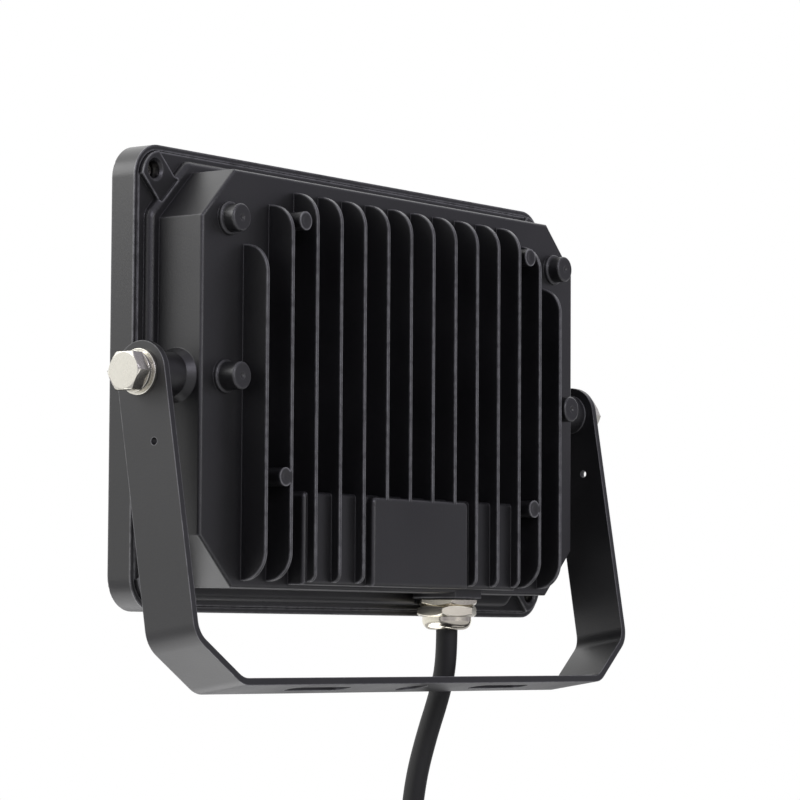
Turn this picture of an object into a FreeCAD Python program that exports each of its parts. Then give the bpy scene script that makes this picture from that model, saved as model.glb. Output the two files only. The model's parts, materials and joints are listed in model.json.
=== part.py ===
"""LED floodlight with a built-in motion sensor, on a folded steel stirrup bracket.

Millimetres. The origin is the middle of the stirrup's outer face, on its centre hole.
+Z points up from that mounting face, +X across the lamp, -Y is the glass side and +Y the fins.
Each piece of the lamp head is drawn in the head's own frame, square to the lamp with its origin
on the swivel axis, and is then tipped back and lifted into the stirrup by mounted().
"""
import FreeCAD, Part
import math
import os

V = FreeCAD.Vector
X_AXIS = V(1, 0, 0)
Y_AXIS = V(0, 1, 0)
Z_AXIS = V(0, 0, 1)

# How the head hangs in the stirrup
rest_tilt = 9.2  # degrees that the glass looks up above level
pivot_height = 109.1  # swivel axis above the mounting face

# Cast box
box_width = 226.8
box_height = 145.4
box_corner = 17.6  # leg of the 45 degree corner cuts
box_rear = 11.4  # rear face behind the swivel axis
box_edge_round = 1.2
plate_thickness = 4.0
wall = 3.5

# Flange of the box, its raised bead and its corner pads
flange_rear = -11.1
flange_thickness = 3.3
flange_side = 7.6  # beyond the box at the sides
flange_top = 6.2  # beyond the box at top and bottom
bead_height = 3.0
bead_side = 4.5
bead_top = 4.3
bead_diagonal = 4.5
bead_round = 2.5
bead_corner_round = 5.0
pad_half_width = 6.1  # across the corner's diagonal
pad_reach_in = 9.8  # from the screw toward the box
pad_reach_out = 15.0  # past the corner of the flange
pad_height = 1.9

# Screws that hold the front frame on, driven from the rear
screw_inset_side = 6.6
screw_inset_top = 6.8
frame_screw_well_r = 3.05
frame_screw_well_depth = 5.6
frame_screw_rim = 1.0  # width of the bevel round the mouth of the well
frame_screw_rim_depth = 0.8
frame_screw_floor = 1.5
frame_screw_length = 5.2
frame_screw_spare = 0.3  # thread left free under the screw
frame_boss_r = 5.0

# Front frame
rim_gap = 0.2
rim_thickness = 2.0
frame_corner_r = 12.1
frame_depth = 10.6
frame_lip = 2.3
frame_edge_round = 0.5
boss_clearance = 0.2

# Glass and its seal
glass_thickness = 3.0
glass_side = 0.6  # beyond the box outline
glass_top = -0.2
glass_diagonal = 2.5
seal_wrap = 1.5  # rubber round the edge of the glass
seal_lip = 1.0  # rubber in front of and behind the glass
seal_grip = 3.0  # how far the lips reach in over the glass
seal_clearance = 0.1
window_show = 0.4  # seal that shows inside the frame's window

# Cooling fins
fin_count = 14
fin_pitch = 13.86
fin_height = 10.5
fin_tip = 1.3
fin_root = 1.9
fin_round = 10.2
fin_bottom_margin = 2.4
fin_top_margin = 4.9
fin_next_drop = 10.6  # top of the last but one fin under the box top
fin_outer_drop = 25.8  # top of the outer fin under the box top

# Driver chamber cast into the rear plate
chamber_half_width = 65.0
chamber_top = 34.4  # its upper edge above the bottom of the box
chamber_height = 7.0
chamber_bottom_margin = 1.5
chamber_round = 2.2
chamber_edge_round = 1.4
chamber_fin_round = 3.2
hump_half_width = 29.1
hump_top = 33.7
pocket_wall = 3.5

# Round bosses on the rear
upper_boss_inset = 14.1  # from the side of the box
upper_boss_drop = 17.7  # below the top of the box
upper_boss_height = 6.3
middle_boss_inset = 12.4
middle_boss_height = 8.4
boss_tip_r = 4.9
boss_shaft_r = 5.0
boss_root_r = 5.9
boss_root_height = 1.6
boss_root_round = 0.7
boss_edge_round = 0.8
boss_dimple_r = 1.3
boss_dimple_depth = 0.7
upper_posts = ((69.3, 16.2), (-69.3, 16.2))  # x, and z below the top of the box
lower_posts = ((79.5, 38.7), (-72.5, 32.7))  # x, and z above the bottom of the box
post_r = 3.3
post_dish_r = 2.2
post_dish_depth = 0.4

# Swivel
swivel_boss_r = 7.75
swivel_root_r = 9.6
swivel_root_length = 3.0
pad_ring_thickness = 0.6
clamp_gap = 0.05
bolt_r = 4.0
bolt_length = 20.0
bolt_head_flats = 13.0
bolt_head_height = 5.3
bolt_head_turn = 0.0  # degrees
bolt_thread_clearance = 0.05
bolt_hole_clearance = 0.1
bolt_end_room = 1.0
bolt_tip_chamfer = 0.8
washer_r = 8.0
washer_thickness = 1.6
spring_washer_r = 7.1
spring_washer_thickness = 2.0
spring_washer_slot = 1.0
spring_washer_turn = 130.0  # degrees
washer_hole_clearance = 0.2

# Stirrup bracket
arm_clearance = 5.9  # between the front frame and the arm
strip_thickness = 2.5
strip_half_width = 10.8
bend_rise = 16.6
bend_run = 22.4
bend_r = 10.0
slot_spacing = 110.0
slot_length = 34.0
slot_r = 4.0
centre_hole_r = 6.0
lock_hole_r = 1.3
lock_hole_below = 24.5
lock_hole_back = 2.5

# Cable gland under the box
gland_x = -44.0
gland_y = 1.3  # behind the swivel axis
gland_seat_r = 13.0
gland_seat_height = 1.8
gland_flats = 21.0
gland_washer_r = 9.4
gland_washer_thickness = 0.6
gland_hex_height = 2.1
gland_nut_hex_height = 4.2
gland_dome_height = 5.0
gland_dome_r = 9.35
gland_dome_round = 3.6
gland_thread_r = 8.0
gland_thread_clearance = 0.15
gland_neck_r = 7.4
gland_neck_length = 5.0
gland_neck_room = 1.0  # between the neck's end and the dome
gland_collar_height = 0.9
gland_bore_r = 6.2
gland_spot_r = 12.4  # flat cut into the bead so that the hexagon can turn
gland_body_turn = 15.5
gland_nut_turn = 32.3
lock_nut_flats = 20.0
lock_nut_height = 3.0
gland_thread_spare = 2.0
gland_fit = 0.05
cord_mouth_clearance = 0.25

# Mains cord
cord_r = 4.1
core_r = 1.25
core_from_axis = 1.56
jacket_spare = 0.6  # jacket beyond the gland inside the box
jacket_gap = 0.1  # between the cord inside the gland and the cord outside
cord_route = (
    (-44.0, -12.5, 23.6),
    (-44.0, -14.5, 11.3),
    (-42.6, -19.0, -0.9),
    (-39.4, -24.5, -14.6),
    (-36.3, -29.7, -29.9),
    (-34.2, -33.4, -47.0),
    (-33.2, -35.3, -65.0),
    (-33.0, -35.8, -84.0),
)
coil_turns = 3
coil_r = 44.0  # middle of the cord
coil_lane = 8.3  # how far the cord steps back in each turn
coil_centre_z = -98.0
tail_length = 30.0
stripped_length = 17.0
core_spread = 11.0  # degrees
ferrule_r = 0.95
ferrule_length = 7.0
tie_width = 10.0
tie_thickness = 1.2
tie_slack = 0.15

# Light-source board, its pad and its chips
board_half_width = 83.0
board_drop = 11.7  # its upper edge below the top of the box
board_above_driver = 1.5
board_thickness = 1.5
thermal_pad_thickness = 0.5
thermal_pad_inset = 2.0
chip_columns = 12
chip_rows = 6
chip_pitch_x = 11.0
chip_edge_room = 8.0  # from the outer rows to the reflector
chip_size = 3.0
chip_height = 0.6

# Reflector sheet
reflector_thickness = 0.8
reflector_to_seal = 1.2
reflector_side_gap = 0.4
mouth_to_screws = 6.7  # from the reflector's mouth to its screws at the sides
mouth_drop = 10.7  # upper edge of the mouth below the top of the box
mouth_rise = 34.2  # lower edge of the mouth above the bottom of the box
throat_half_width = 72.0
throat_drop = 12.0  # upper edge of the throat below that of the mouth
throat_rise = 4.5  # lower edge of the throat above that of the mouth
throat_above_board = 0.8
reflector_post_r = 3.5

# Small screws inside
small_screw_r = 1.5
small_screw_clearance = 0.05
small_head_r = 2.75
small_head_height = 1.7
small_head_round = 0.75
small_screw_length = 7.0
small_screw_hole_spare = 0.8
board_hole_r = 1.7

# Driver
driver_half_width = 60.0
driver_height = 17.3
driver_top = 26.7  # its upper edge above the bottom of the box
driver_thickness = 1.6
driver_screw_x = 56.0
driver_screw_step = 11.0
standoff_r = 3.0
driver_gap = 0.1  # between the driver board and the plane of the light board
transformer_size = (18.0, 10.4, 16.0)
transformer_core_height = 10.2
transformer_bobbin_width = 13.0
transformer_step = 1.0  # core above the bobbin
capacitor_sizes = (
    (17.0, 5.0, 10.2),
    (-17.0, 4.0, 9.6),
    (36.0, 3.15, 6.8),
    (45.0, 3.15, 6.8),
    (-36.0, 2.5, 5.6),
)
capacitor_round_share = 0.15  # round of the can over its radius
driver_chip_sizes = (
    (29.5, 5.0, 6.2, 2.4),
    (-28.5, 4.4, 5.0, 2.0),
    (52.0, 3.8, 4.6, 1.6),
    (-44.0, 4.4, 9.0, 3.0),
)
fuse_r = 1.8
fuse_length = 8.4
fuse_x = 44.0
fuse_drop = 4.3  # below the middle of the driver board
terminal_width = 13.0
terminal_depth = 8.6
terminal_height = 9.0
terminal_inset = 0.4
terminal_hole_r = 1.45
terminal_hole_depth = 4.0
terminal_hole_spare = 0.5
terminal_clamp_r = 1.6
terminal_clamp_rise = 5.8
terminal_clamp_depth = 1.2
inner_core_thinner = 0.1
inner_core_step = 1.5  # of the live and neutral cores from the cord's middle
inner_core_straight = 0.3  # straight share of their rise at each end
earth_core_start = (-1.0, -2.6, 0.0)  # from the end of the jacket
earth_core_rise = 3.0
earth_core_knee = (-6.0, 0.3, 5.5)
earth_core_run = (8.0, -1.5, 0.5)  # last knee from the ring terminal
earth_core_overlap = 0.4
earth_screw_x = -72.0
earth_screw_above = 17.5
earth_screw_r = 2.0
earth_head_r = 3.6
earth_head_height = 2.4
earth_head_round = 0.7
earth_ring_r = 4.4
earth_ring_thickness = 0.8
earth_screw_depth = 3.2
earth_screw_spare = 0.2
led_lead_r = 0.8
led_lead_x = 48.0
led_lead_step = 5.0
led_lead_rise = 2.6
led_lead_reach = 3.0

# Motion sensor behind the glass
sensor_half_width = 38.0
sensor_low = 8.7  # above the bottom of the box
sensor_height = 18.0
sensor_window_inset = 2.0
sensor_window_gap = 0.2
sensor_cover_thickness = 1.2
sensor_window_proud = 0.6
sensor_window_round = 0.5
sensor_leg_inset = 4.0
sensor_leg_r = 2.6
sensor_pin_r = 1.8
sensor_pin_clearance = 0.05
sensor_board_drop = 5.0  # from the cover down to the board
sensor_board_thickness = 1.2
sensor_board_inset = 1.0
shield_size = (22.0, 3.2, 11.0)
shield_round = 0.4
light_sensor_r = 2.5
light_sensor_round = 1.0
light_sensor_x = 26.0
light_sensor_gap = 0.15
sensor_chip_sizes = ((0.0, 6.0, 6.0, 1.2), (-12.0, 4.4, 5.0, 1.0), (15.0, 3.4, 4.2, 1.0))

# How the solids are made
past = 1.0  # how far a cutter runs past a face, or a piece into the one it joins
hex_face_share = 0.97  # circle left on the end of a hexagon, over its flats
hex_corner_angle = 30.0  # degrees
bend_share = 0.45  # largest share of a straight run that a wire's bend takes

# Places worked out from the sizes above
box_half_w = box_width / 2
box_half_h = box_height / 2
plate_inner = box_rear - plate_thickness
flange_front = flange_rear - flange_thickness
flange_half_w = box_half_w + flange_side
flange_half_h = box_half_h + flange_top
frame_half_w = flange_half_w + rim_gap + rim_thickness
frame_half_h = flange_half_h + rim_gap + rim_thickness
flange_corner_r = frame_corner_r - rim_gap - rim_thickness
frame_front = flange_rear - frame_depth
seal_front = frame_front + frame_lip
glass_front = seal_front + seal_lip
glass_rear = glass_front + glass_thickness
seal_rear = glass_rear + seal_lip
fin_edge = box_rear + fin_height
pad_top = flange_rear + pad_height
well_floor = pad_top - frame_screw_well_depth
upper_boss_x = box_half_w - upper_boss_inset
upper_boss_z = box_half_h - upper_boss_drop
middle_boss_x = box_half_w - middle_boss_inset
boss_places = [(upper_boss_x, upper_boss_z), (middle_boss_x, 0), (-upper_boss_x, upper_boss_z), (-middle_boss_x, 0)]
boss_heights = [upper_boss_height, middle_boss_height] * 2
post_places = [(x, box_half_h - z) for x, z in upper_posts] + [(x, z - box_half_h) for x, z in lower_posts]
frame_boss_front = well_floor - frame_screw_floor
arm_inner = frame_half_w + arm_clearance
arm_outer = arm_inner + strip_thickness
swivel_boss_end = arm_inner - clamp_gap - pad_ring_thickness
washer_inner = arm_outer + clamp_gap
bolt_seat = washer_inner + washer_thickness + spring_washer_thickness
bolt_tip = bolt_seat - bolt_length
gland_seat_z = -box_half_h - gland_seat_height
gland_hex_top = gland_seat_z - gland_washer_thickness
gland_hex_low = gland_hex_top - gland_hex_height
gland_nut_low = gland_hex_low - gland_nut_hex_height
gland_mouth = gland_nut_low - gland_dome_height
gland_neck_low = gland_hex_low - gland_neck_length
gland_cavity_low = gland_neck_low - gland_neck_room
inner_bottom = -box_half_h + wall
lock_nut_top = inner_bottom + lock_nut_height
gland_thread_top = lock_nut_top + gland_thread_spare
jacket_top = gland_thread_top + jacket_spare
board_rear = plate_inner - thermal_pad_thickness
board_front = board_rear - board_thickness
reflector_front = seal_rear + reflector_to_seal
reflector_rear = reflector_front + reflector_thickness
chamber_rear = box_rear + chamber_height
driver_rear = board_rear + driver_gap
driver_front = driver_rear - driver_thickness
driver_top_z = -box_half_h + driver_top
driver_bottom_z = driver_top_z - driver_height
driver_mid_z = (driver_top_z + driver_bottom_z) / 2
board_top = box_half_h - board_drop
board_bottom = driver_top_z + board_above_driver
mouth_half_width = upper_boss_x - mouth_to_screws
mouth_top = box_half_h - mouth_drop
mouth_bottom = mouth_rise - box_half_h
throat_top = mouth_top - throat_drop
throat_bottom = mouth_bottom + throat_rise
chip_pitch_z = (throat_top - throat_bottom - 2 * chip_edge_room - chip_size) / (chip_rows - 1)
terminal_low = driver_top_z - terminal_inset - terminal_height
sensor_bottom_z = -box_half_h + sensor_low
sensor_top_z = sensor_bottom_z + sensor_height
sensor_mid_z = (sensor_bottom_z + sensor_top_z) / 2
sensor_board_front = reflector_rear + sensor_cover_thickness + sensor_board_drop
sensor_board_rear = sensor_board_front + sensor_board_thickness
screw_x = flange_half_w - screw_inset_side
screw_z = flange_half_h - screw_inset_top
coil_centre_x = cord_route[-1][0] + coil_r
coil_front_y = cord_route[-1][1]
coil_rear_y = coil_front_y + coil_turns * coil_lane


def prism(outline, y_start, y_end):
    """Solid of a closed (x, z) outline, drawn out along Y."""
    corners = [V(x, y_start, z) for x, z in outline]
    face = Part.Face(Part.makePolygon(corners + corners[:1]))
    return face.extrude(V(0, y_end - y_start, 0))


def box_outline(side, top, diagonal):
    """The box's eight-cornered outline, moved out by these distances."""
    w = box_half_w + side
    h = box_half_h + top
    leg = side + top + box_corner - diagonal * math.sqrt(2)
    return [
        (w, leg - h), (w, h - leg), (w - leg, h), (leg - w, h),
        (-w, h - leg), (-w, leg - h), (leg - w, -h), (w - leg, -h),
    ]


def evenly_in(distance):
    """The box's outline moved in by one distance on every side."""
    return box_outline(-distance, -distance, -distance)


def slab(x_start, x_end, y_start, y_end, z_start, z_end):
    """Rectangular block between these limits."""
    return Part.makeBox(x_end - x_start, y_end - y_start, z_end - z_start, V(x_start, y_start, z_start))


def rod(radius, start, end):
    """Round bar from start to end."""
    run = end - start
    return Part.makeCylinder(radius, run.Length, start, run)


def edges_at(shape, axis, value):
    """Edges that lie wholly in the plane where this coordinate has this value."""
    return [e for e in shape.Edges if all(abs(getattr(v.Point, axis) - value) < 1e-4 for v in e.Vertexes)]


def edges_along(shape, axis):
    """Straight edges that run along this axis."""
    return [e for e in shape.Edges if abs(getattr(e.tangentAt(e.FirstParameter), axis)) > 0.99]


def rounded_plate(half_w, half_h, radius, y_start, y_end):
    """Plate with round corners, square to Y."""
    plate = slab(-half_w, half_w, y_start, y_end, -half_h, half_h)
    return plate.makeFillet(radius, edges_along(plate, "y"))


def hex_bar(flats, start, end, turn):
    """Six-sided bar from start to end, turned about its own axis by this many degrees."""
    run = end - start
    radius = flats / math.sqrt(3)
    angles = [math.radians(a) for a in range(0, 360, 60)]
    corners = [V(radius * math.cos(a), radius * math.sin(a), 0) for a in angles]
    bar = Part.Face(Part.makePolygon(corners + corners[:1])).extrude(V(0, 0, run.Length))
    bar.rotate(V(0, 0, 0), Z_AXIS, turn)
    bar.Placement = FreeCAD.Placement(start, FreeCAD.Rotation(Z_AXIS, run)).multiply(bar.Placement)
    return bar


def chamfered_hex(flats, start, end, turn, both_ends=False):
    """Hex bar whose corners are turned off at its far end, and at both if asked."""
    run = end - start
    corner = flats / math.sqrt(3)
    face_r = flats / 2 * hex_face_share
    drop = (corner - face_r) * math.tan(math.radians(hex_corner_angle))
    along = V(run).normalize()
    limit = Part.makeCone(corner, face_r, drop, end - along * drop, along)
    low = start
    if both_ends:
        limit = limit.fuse(Part.makeCone(face_r, corner, drop, start, along))
        low = start + along * drop
    limit = limit.fuse(rod(corner, low, end - along * drop))
    return hex_bar(flats, start, end, turn).common(limit)


def joined(shapes):
    """One solid from shapes that overlap or share a face."""
    return shapes[0].multiFuse(shapes[1:]).removeSplitter()


def mirrored_x(shape):
    """The same piece on the other side of the lamp."""
    return shape.mirror(V(0, 0, 0), X_AXIS)


def corner_places(x, z):
    """The four corners of a rectangle about the swivel axis."""
    return [(sx * x, sz * z) for sx in (1, -1) for sz in (1, -1)]


def mounted(shape):
    """A piece of the head, tipped back and lifted to the swivel axis."""
    placed = shape.copy()
    placed.rotate(V(0, 0, 0), X_AXIS, -rest_tilt)
    placed.translate(V(0, 0, pivot_height))
    return placed


def small_screw(x, seat_y, z, length, toward_rear=1):
    """Pan-head screw whose head stands in front of seat_y and whose shank goes to the rear."""
    seat = V(x, seat_y, z)
    along = V(0, toward_rear, 0)
    head = rod(small_head_r, seat - along * small_head_height, seat)
    head = head.makeFillet(small_head_round, edges_at(head, "y", seat_y - toward_rear * small_head_height))
    return head.fuse(rod(small_screw_r, seat, seat + along * length))


def fin_top(index):
    """Top of a fin above the swivel axis, stepped down beside the cut corners."""
    from_side = min(index, fin_count - 1 - index)
    return box_half_h - {0: fin_outer_drop, 1: fin_next_drop}.get(from_side, fin_top_margin)


def fin_side_view(top, bottom, foot_y, foot_round):
    """Side view of a fin: straight edge, round top end and a round foot of its own size."""
    root = plate_inner + past
    tip_round = min(fin_round, fin_height)
    sine = math.sin(math.pi / 4)
    top_arc = Part.Arc(
        V(0, fin_edge - tip_round, top),
        V(0, fin_edge - tip_round * (1 - sine), top - tip_round * (1 - sine)),
        V(0, fin_edge, top - tip_round),
    )
    foot_arc = Part.Arc(
        V(0, fin_edge, bottom + foot_round),
        V(0, fin_edge - foot_round * (1 - sine), bottom + foot_round * (1 - sine)),
        V(0, fin_edge - foot_round, bottom),
    )
    edges = [
        Part.LineSegment(V(0, root, top), V(0, fin_edge - tip_round, top)),
        top_arc,
        Part.LineSegment(V(0, fin_edge, top - tip_round), V(0, fin_edge, bottom + foot_round)),
        foot_arc,
        Part.LineSegment(V(0, fin_edge - foot_round, bottom), V(0, foot_y, bottom)),
        Part.LineSegment(V(0, foot_y, bottom), V(0, root, bottom)),
        Part.LineSegment(V(0, root, bottom), V(0, root, top)),
    ]
    return Part.Wire([e.toShape() for e in edges])


def fin(index):
    """One cast fin, thicker at its root, cut to its side view."""
    x = ((fin_count - 1) / 2 - index) * fin_pitch
    on_hump = abs(x) + fin_tip / 2 < hump_half_width
    on_chamber = abs(x) + fin_tip / 2 < chamber_half_width
    bottom = fin_bottom_margin - box_half_h
    foot_round = chamber_fin_round if on_chamber else fin_round
    if on_hump:
        bottom = hump_top - box_half_h - chamber_fin_round - fin_tip
    side = Part.Face(fin_side_view(fin_top(index), bottom, box_rear, foot_round))
    side.translate(V(x - fin_root / 2, 0, 0))
    blade = side.extrude(V(fin_root, 0, 0))
    taper = (fin_root - fin_tip) / 2
    reach = box_half_h
    for sign in (1, -1):
        wedge = [
            V(x + sign * fin_root / 2, box_rear, -reach),
            V(x + sign * fin_root, box_rear, -reach),
            V(x + sign * fin_root, fin_edge + past, -reach),
            V(x + sign * (fin_root / 2 - taper * (fin_height + past) / fin_height), fin_edge + past, -reach),
        ]
        blade = blade.cut(Part.Face(Part.makePolygon(wedge + wedge[:1])).extrude(V(0, 0, 2 * reach)))
    return blade


def rear_boss(x, z, height):
    """Boss on a low round foot, with rounded edges and a small dimple in its end."""
    base = V(x, box_rear - past, z)
    foot_top = box_rear + boss_root_height
    end = box_rear + height
    foot = rod(boss_root_r, base, V(x, foot_top, z))
    foot = foot.makeFillet(boss_root_round, edges_at(foot, "y", foot_top))
    shaft = Part.makeCone(boss_shaft_r, boss_tip_r, end - base.y, base, Y_AXIS)
    shaft = shaft.makeFillet(boss_edge_round, edges_at(shaft, "y", end))
    dimple = Part.makeCone(0, boss_dimple_r, boss_dimple_depth, V(x, end - boss_dimple_depth, z), Y_AXIS)
    return foot.fuse(shaft).cut(dimple)


def rear_post(x, z):
    """Slim post as high as the fins, with a shallow dish in its end."""
    post = rod(post_r, V(x, box_rear - past, z), V(x, fin_edge, z))
    dish = Part.makeCone(0, post_dish_r, post_dish_depth, V(x, fin_edge - post_dish_depth, z), Y_AXIS)
    return post.cut(dish)


def chamber_block(half_w, top, rear):
    """Raised block over the driver, rounded on its rear edges and upper corners."""
    upper_z = top - box_half_h
    block = slab(-half_w, half_w, box_rear - 2, rear, chamber_bottom_margin - box_half_h, upper_z)
    upper = [e for e in edges_along(block, "y") if abs(e.Vertexes[0].Point.z - upper_z) < 1e-4]
    block = block.makeFillet(chamber_round, upper)
    return block.makeFillet(chamber_edge_round, edges_at(block, "y", rear))


def swivel_boss():
    """Boss that carries the swivel bolt on the +X wall, with a wider root."""
    boss = rod(swivel_boss_r, V(box_half_w - wall / 2, 0, 0), V(swivel_boss_end, 0, 0))
    root = Part.makeCone(swivel_root_r, swivel_boss_r, swivel_root_length, V(box_half_w, 0, 0), X_AXIS)
    return boss.fuse(root)


def pad_outline(x, z):
    """Outline of the corner pad round a screw, square to the corner's diagonal."""
    side_x = math.copysign(1, x)
    side_z = math.copysign(1, z)
    outline = []
    for out, across in ((-1, -1), (1, -1), (1, 1), (-1, 1)):
        along = (pad_reach_out if out > 0 else -pad_reach_in) / math.sqrt(2)
        aside = across * pad_half_width / math.sqrt(2)
        outline.append((x + side_x * (along + aside), z + side_z * (along - aside)))
    return outline


def rear_housing():
    """The cast aluminium box: flange, bead, pads, fins, bosses and driver chamber in one piece."""
    body = prism(box_outline(0, 0, 0), flange_rear - past, box_rear)
    body = body.makeFillet(box_edge_round, edges_at(body, "y", box_rear))
    flange = rounded_plate(flange_half_w, flange_half_h, flange_corner_r, flange_front, flange_rear)
    bead_rear = flange_rear + bead_height
    bead = prism(box_outline(bead_side, bead_top, bead_diagonal), flange_rear - past, bead_rear)
    bead = bead.makeFillet(bead_corner_round, edges_along(bead, "y"))
    bead = bead.makeFillet(bead_round, edges_at(bead, "y", bead_rear))
    pad_limit = rounded_plate(flange_half_w, flange_half_h, flange_corner_r, flange_rear - past, pad_top)
    adds = [body, flange]
    for x, z in corner_places(screw_x, screw_z):
        bead = bead.cut(prism(pad_outline(x, z), pad_top, bead_rear + past))
        adds.append(prism(pad_outline(x, z), flange_rear - past, pad_top).common(pad_limit))
        adds.append(rod(frame_boss_r, V(x, frame_boss_front, z), V(x, flange_rear, z)))
    adds.append(bead)
    adds.append(chamber_block(chamber_half_width, chamber_top, chamber_rear))
    adds.append(chamber_block(hump_half_width, hump_top, fin_edge))
    adds += [fin(i) for i in range(fin_count)]
    adds += [rear_boss(x, z, height) for (x, z), height in zip(boss_places, boss_heights)]
    adds += [rear_post(x, z) for x, z in post_places]
    adds += [swivel_boss(), mirrored_x(swivel_boss())]
    seat = rod(gland_seat_r, down(inner_bottom), down(gland_seat_z))
    reach = 2 * gland_seat_r
    adds.append(seat.common(slab(gland_x - reach, gland_x + reach, bead_rear, box_rear, -2 * box_half_h, 0)))
    solid = joined(adds)
    cuts = [prism(evenly_in(wall), flange_front - past, plate_inner)]
    blocks = ((chamber_half_width, chamber_top, chamber_rear), (hump_half_width, hump_top, fin_edge))
    for half_w, top, rear in blocks:
        inside = half_w - pocket_wall
        upper = top - box_half_h - pocket_wall
        cuts.append(slab(-inside, inside, plate_inner - past, rear - pocket_wall, inner_bottom, upper))
    solid = solid.cut(joined(cuts))
    inner = []
    for x, z in boss_places:
        inner.append(rod(reflector_post_r, V(x, reflector_rear, z), V(x, plate_inner + past, z)))
    for x, z in driver_screw_places():
        inner.append(rod(standoff_r, V(x, driver_rear, z), V(x, chamber_rear - past, z)))
    solid = solid.multiFuse(inner)
    holes = []
    for x, z in corner_places(screw_x, screw_z):
        holes.append(rod(frame_screw_well_r, V(x, well_floor, z), V(x, pad_top + past, z)))
        holes.append(rod(board_hole_r, V(x, frame_boss_front - past, z), V(x, well_floor + past, z)))
        rim_start = V(x, pad_top - frame_screw_rim_depth, z)
        rim_r = frame_screw_well_r + frame_screw_rim
        holes.append(Part.makeCone(frame_screw_well_r, rim_r, frame_screw_rim_depth, rim_start, Y_AXIS))
    depth = small_screw_length + small_screw_hole_spare
    thread_r = small_screw_r + small_screw_clearance
    for x, z in boss_places:
        holes.append(rod(thread_r, V(x, reflector_rear, z), V(x, reflector_front + depth, z)))
    for x, z in driver_screw_places():
        holes.append(rod(thread_r, V(x, driver_rear, z), V(x, driver_front + depth, z)))
    for x, z in post_places:
        holes.append(rod(thread_r, V(x, plate_inner - past, z), V(x, board_front + depth, z)))
    earth = V(earth_screw_x, plate_inner, earth_screw_above - box_half_h)
    holes.append(rod(earth_screw_r + small_screw_clearance, earth, earth + Y_AXIS * earth_screw_depth))
    hole_r = bolt_r + bolt_thread_clearance
    hole = rod(hole_r, V(bolt_tip - bolt_end_room, 0, 0), V(swivel_boss_end + past, 0, 0))
    holes += [hole, mirrored_x(hole)]
    gland_r = gland_thread_r + gland_thread_clearance
    holes.append(rod(gland_r, down(gland_seat_z - past), down(inner_bottom + past)))
    holes.append(rod(gland_spot_r, down(gland_seat_z), down(gland_nut_low)))
    return solid.cut(holes[0].multiFuse(holes[1:]))


def driver_screw_places():
    """Four screws near the ends of the driver board."""
    return [(x, driver_mid_z + z) for x, z in corner_places(driver_screw_x, driver_screw_step / 2)]


def front_frame():
    """Cast frame that holds the glass and wraps the edge of the flange."""
    solid = rounded_plate(frame_half_w, frame_half_h, frame_corner_r, frame_front, flange_rear)
    solid = solid.makeFillet(frame_edge_round, edges_at(solid, "y", frame_front))
    inner_w = flange_half_w + rim_gap
    inner_h = flange_half_h + rim_gap
    inner_r = flange_corner_r + rim_gap
    solid = solid.cut(rounded_plate(inner_w, inner_h, inner_r, flange_front, flange_rear + past))
    seat = prism(glass_outline(seal_wrap + seal_clearance), seal_front, flange_front + past)
    window = prism(glass_outline(window_show - seal_grip), frame_front - past, seal_front + past)
    solid = solid.cut(seat).cut(window)
    thread_r = small_screw_r + small_screw_clearance
    for x, z in corner_places(screw_x, screw_z):
        pocket = rod(frame_boss_r + boss_clearance, V(x, frame_boss_front, z), V(x, flange_front + past, z))
        thread = rod(thread_r, V(x, well_floor - frame_screw_length, z), V(x, frame_boss_front + past, z))
        solid = solid.cut(pocket.fuse(thread))
    return solid


def glass_outline(outward):
    """Outline of the glass, moved out by this distance."""
    return box_outline(glass_side + outward, glass_top + outward, glass_diagonal + outward)


def glass_pane():
    """Flat toughened glass with cut corners."""
    return prism(glass_outline(0), glass_front, glass_rear)


def glass_seal():
    """Rubber of U section round the edge of the glass."""
    outer = prism(glass_outline(seal_wrap), seal_front, seal_rear)
    window = prism(glass_outline(-seal_grip), seal_front - past, seal_rear + past)
    return outer.cut(window).cut(glass_pane())


def frame_screws():
    """Four screws, sunk in the wells of the pads and threaded into the front frame."""
    length = frame_screw_length - frame_screw_spare
    return [small_screw(x, well_floor, z, length, -1) for x, z in corner_places(screw_x, screw_z)]


def rectangle(half_w, low, high, y):
    """Closed rectangular wire square to Y."""
    corners = [V(half_w, y, low), V(half_w, y, high), V(-half_w, y, high), V(-half_w, y, low)]
    return Part.makePolygon(corners + corners[:1])


def reflector():
    """Bright sheet: a flat rim behind the glass and four sloping walls down to the board."""
    t = reflector_thickness
    throat_y = board_front - throat_above_board
    rim = prism(evenly_in(wall + reflector_side_gap), reflector_front, reflector_rear)
    funnel = Part.makeLoft(
        [
            rectangle(mouth_half_width + t, mouth_bottom - t, mouth_top + t, reflector_front),
            rectangle(throat_half_width + t, throat_bottom - t, throat_top + t, throat_y),
        ],
        True,
        True,
    )
    mouth = Part.makeLoft(
        [
            rectangle(mouth_half_width, mouth_bottom, mouth_top, reflector_front),
            rectangle(throat_half_width, throat_bottom, throat_top, throat_y),
        ],
        True,
        True,
    )
    gap = sensor_window_gap - sensor_window_inset
    slot = slab(
        -sensor_half_width - gap, sensor_half_width + gap, reflector_front - past, reflector_rear + past,
        sensor_bottom_z - gap, sensor_top_z + gap,
    )
    solid = rim.fuse(funnel).cut(mouth).cut(slot)
    for x, z in boss_places:
        solid = solid.cut(rod(board_hole_r, V(x, reflector_front - past, z), V(x, reflector_rear + past, z)))
    return solid


def reflector_screws():
    """Screws that hold the reflector's rim on its posts."""
    return [small_screw(x, reflector_front, z, small_screw_length) for x, z in boss_places]


def with_holes(solid, places, radius, y_start, y_end):
    """The solid with round holes along Y at these places."""
    for x, z in places:
        solid = solid.cut(rod(radius, V(x, y_start - past, z), V(x, y_end + past, z)))
    return solid


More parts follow.
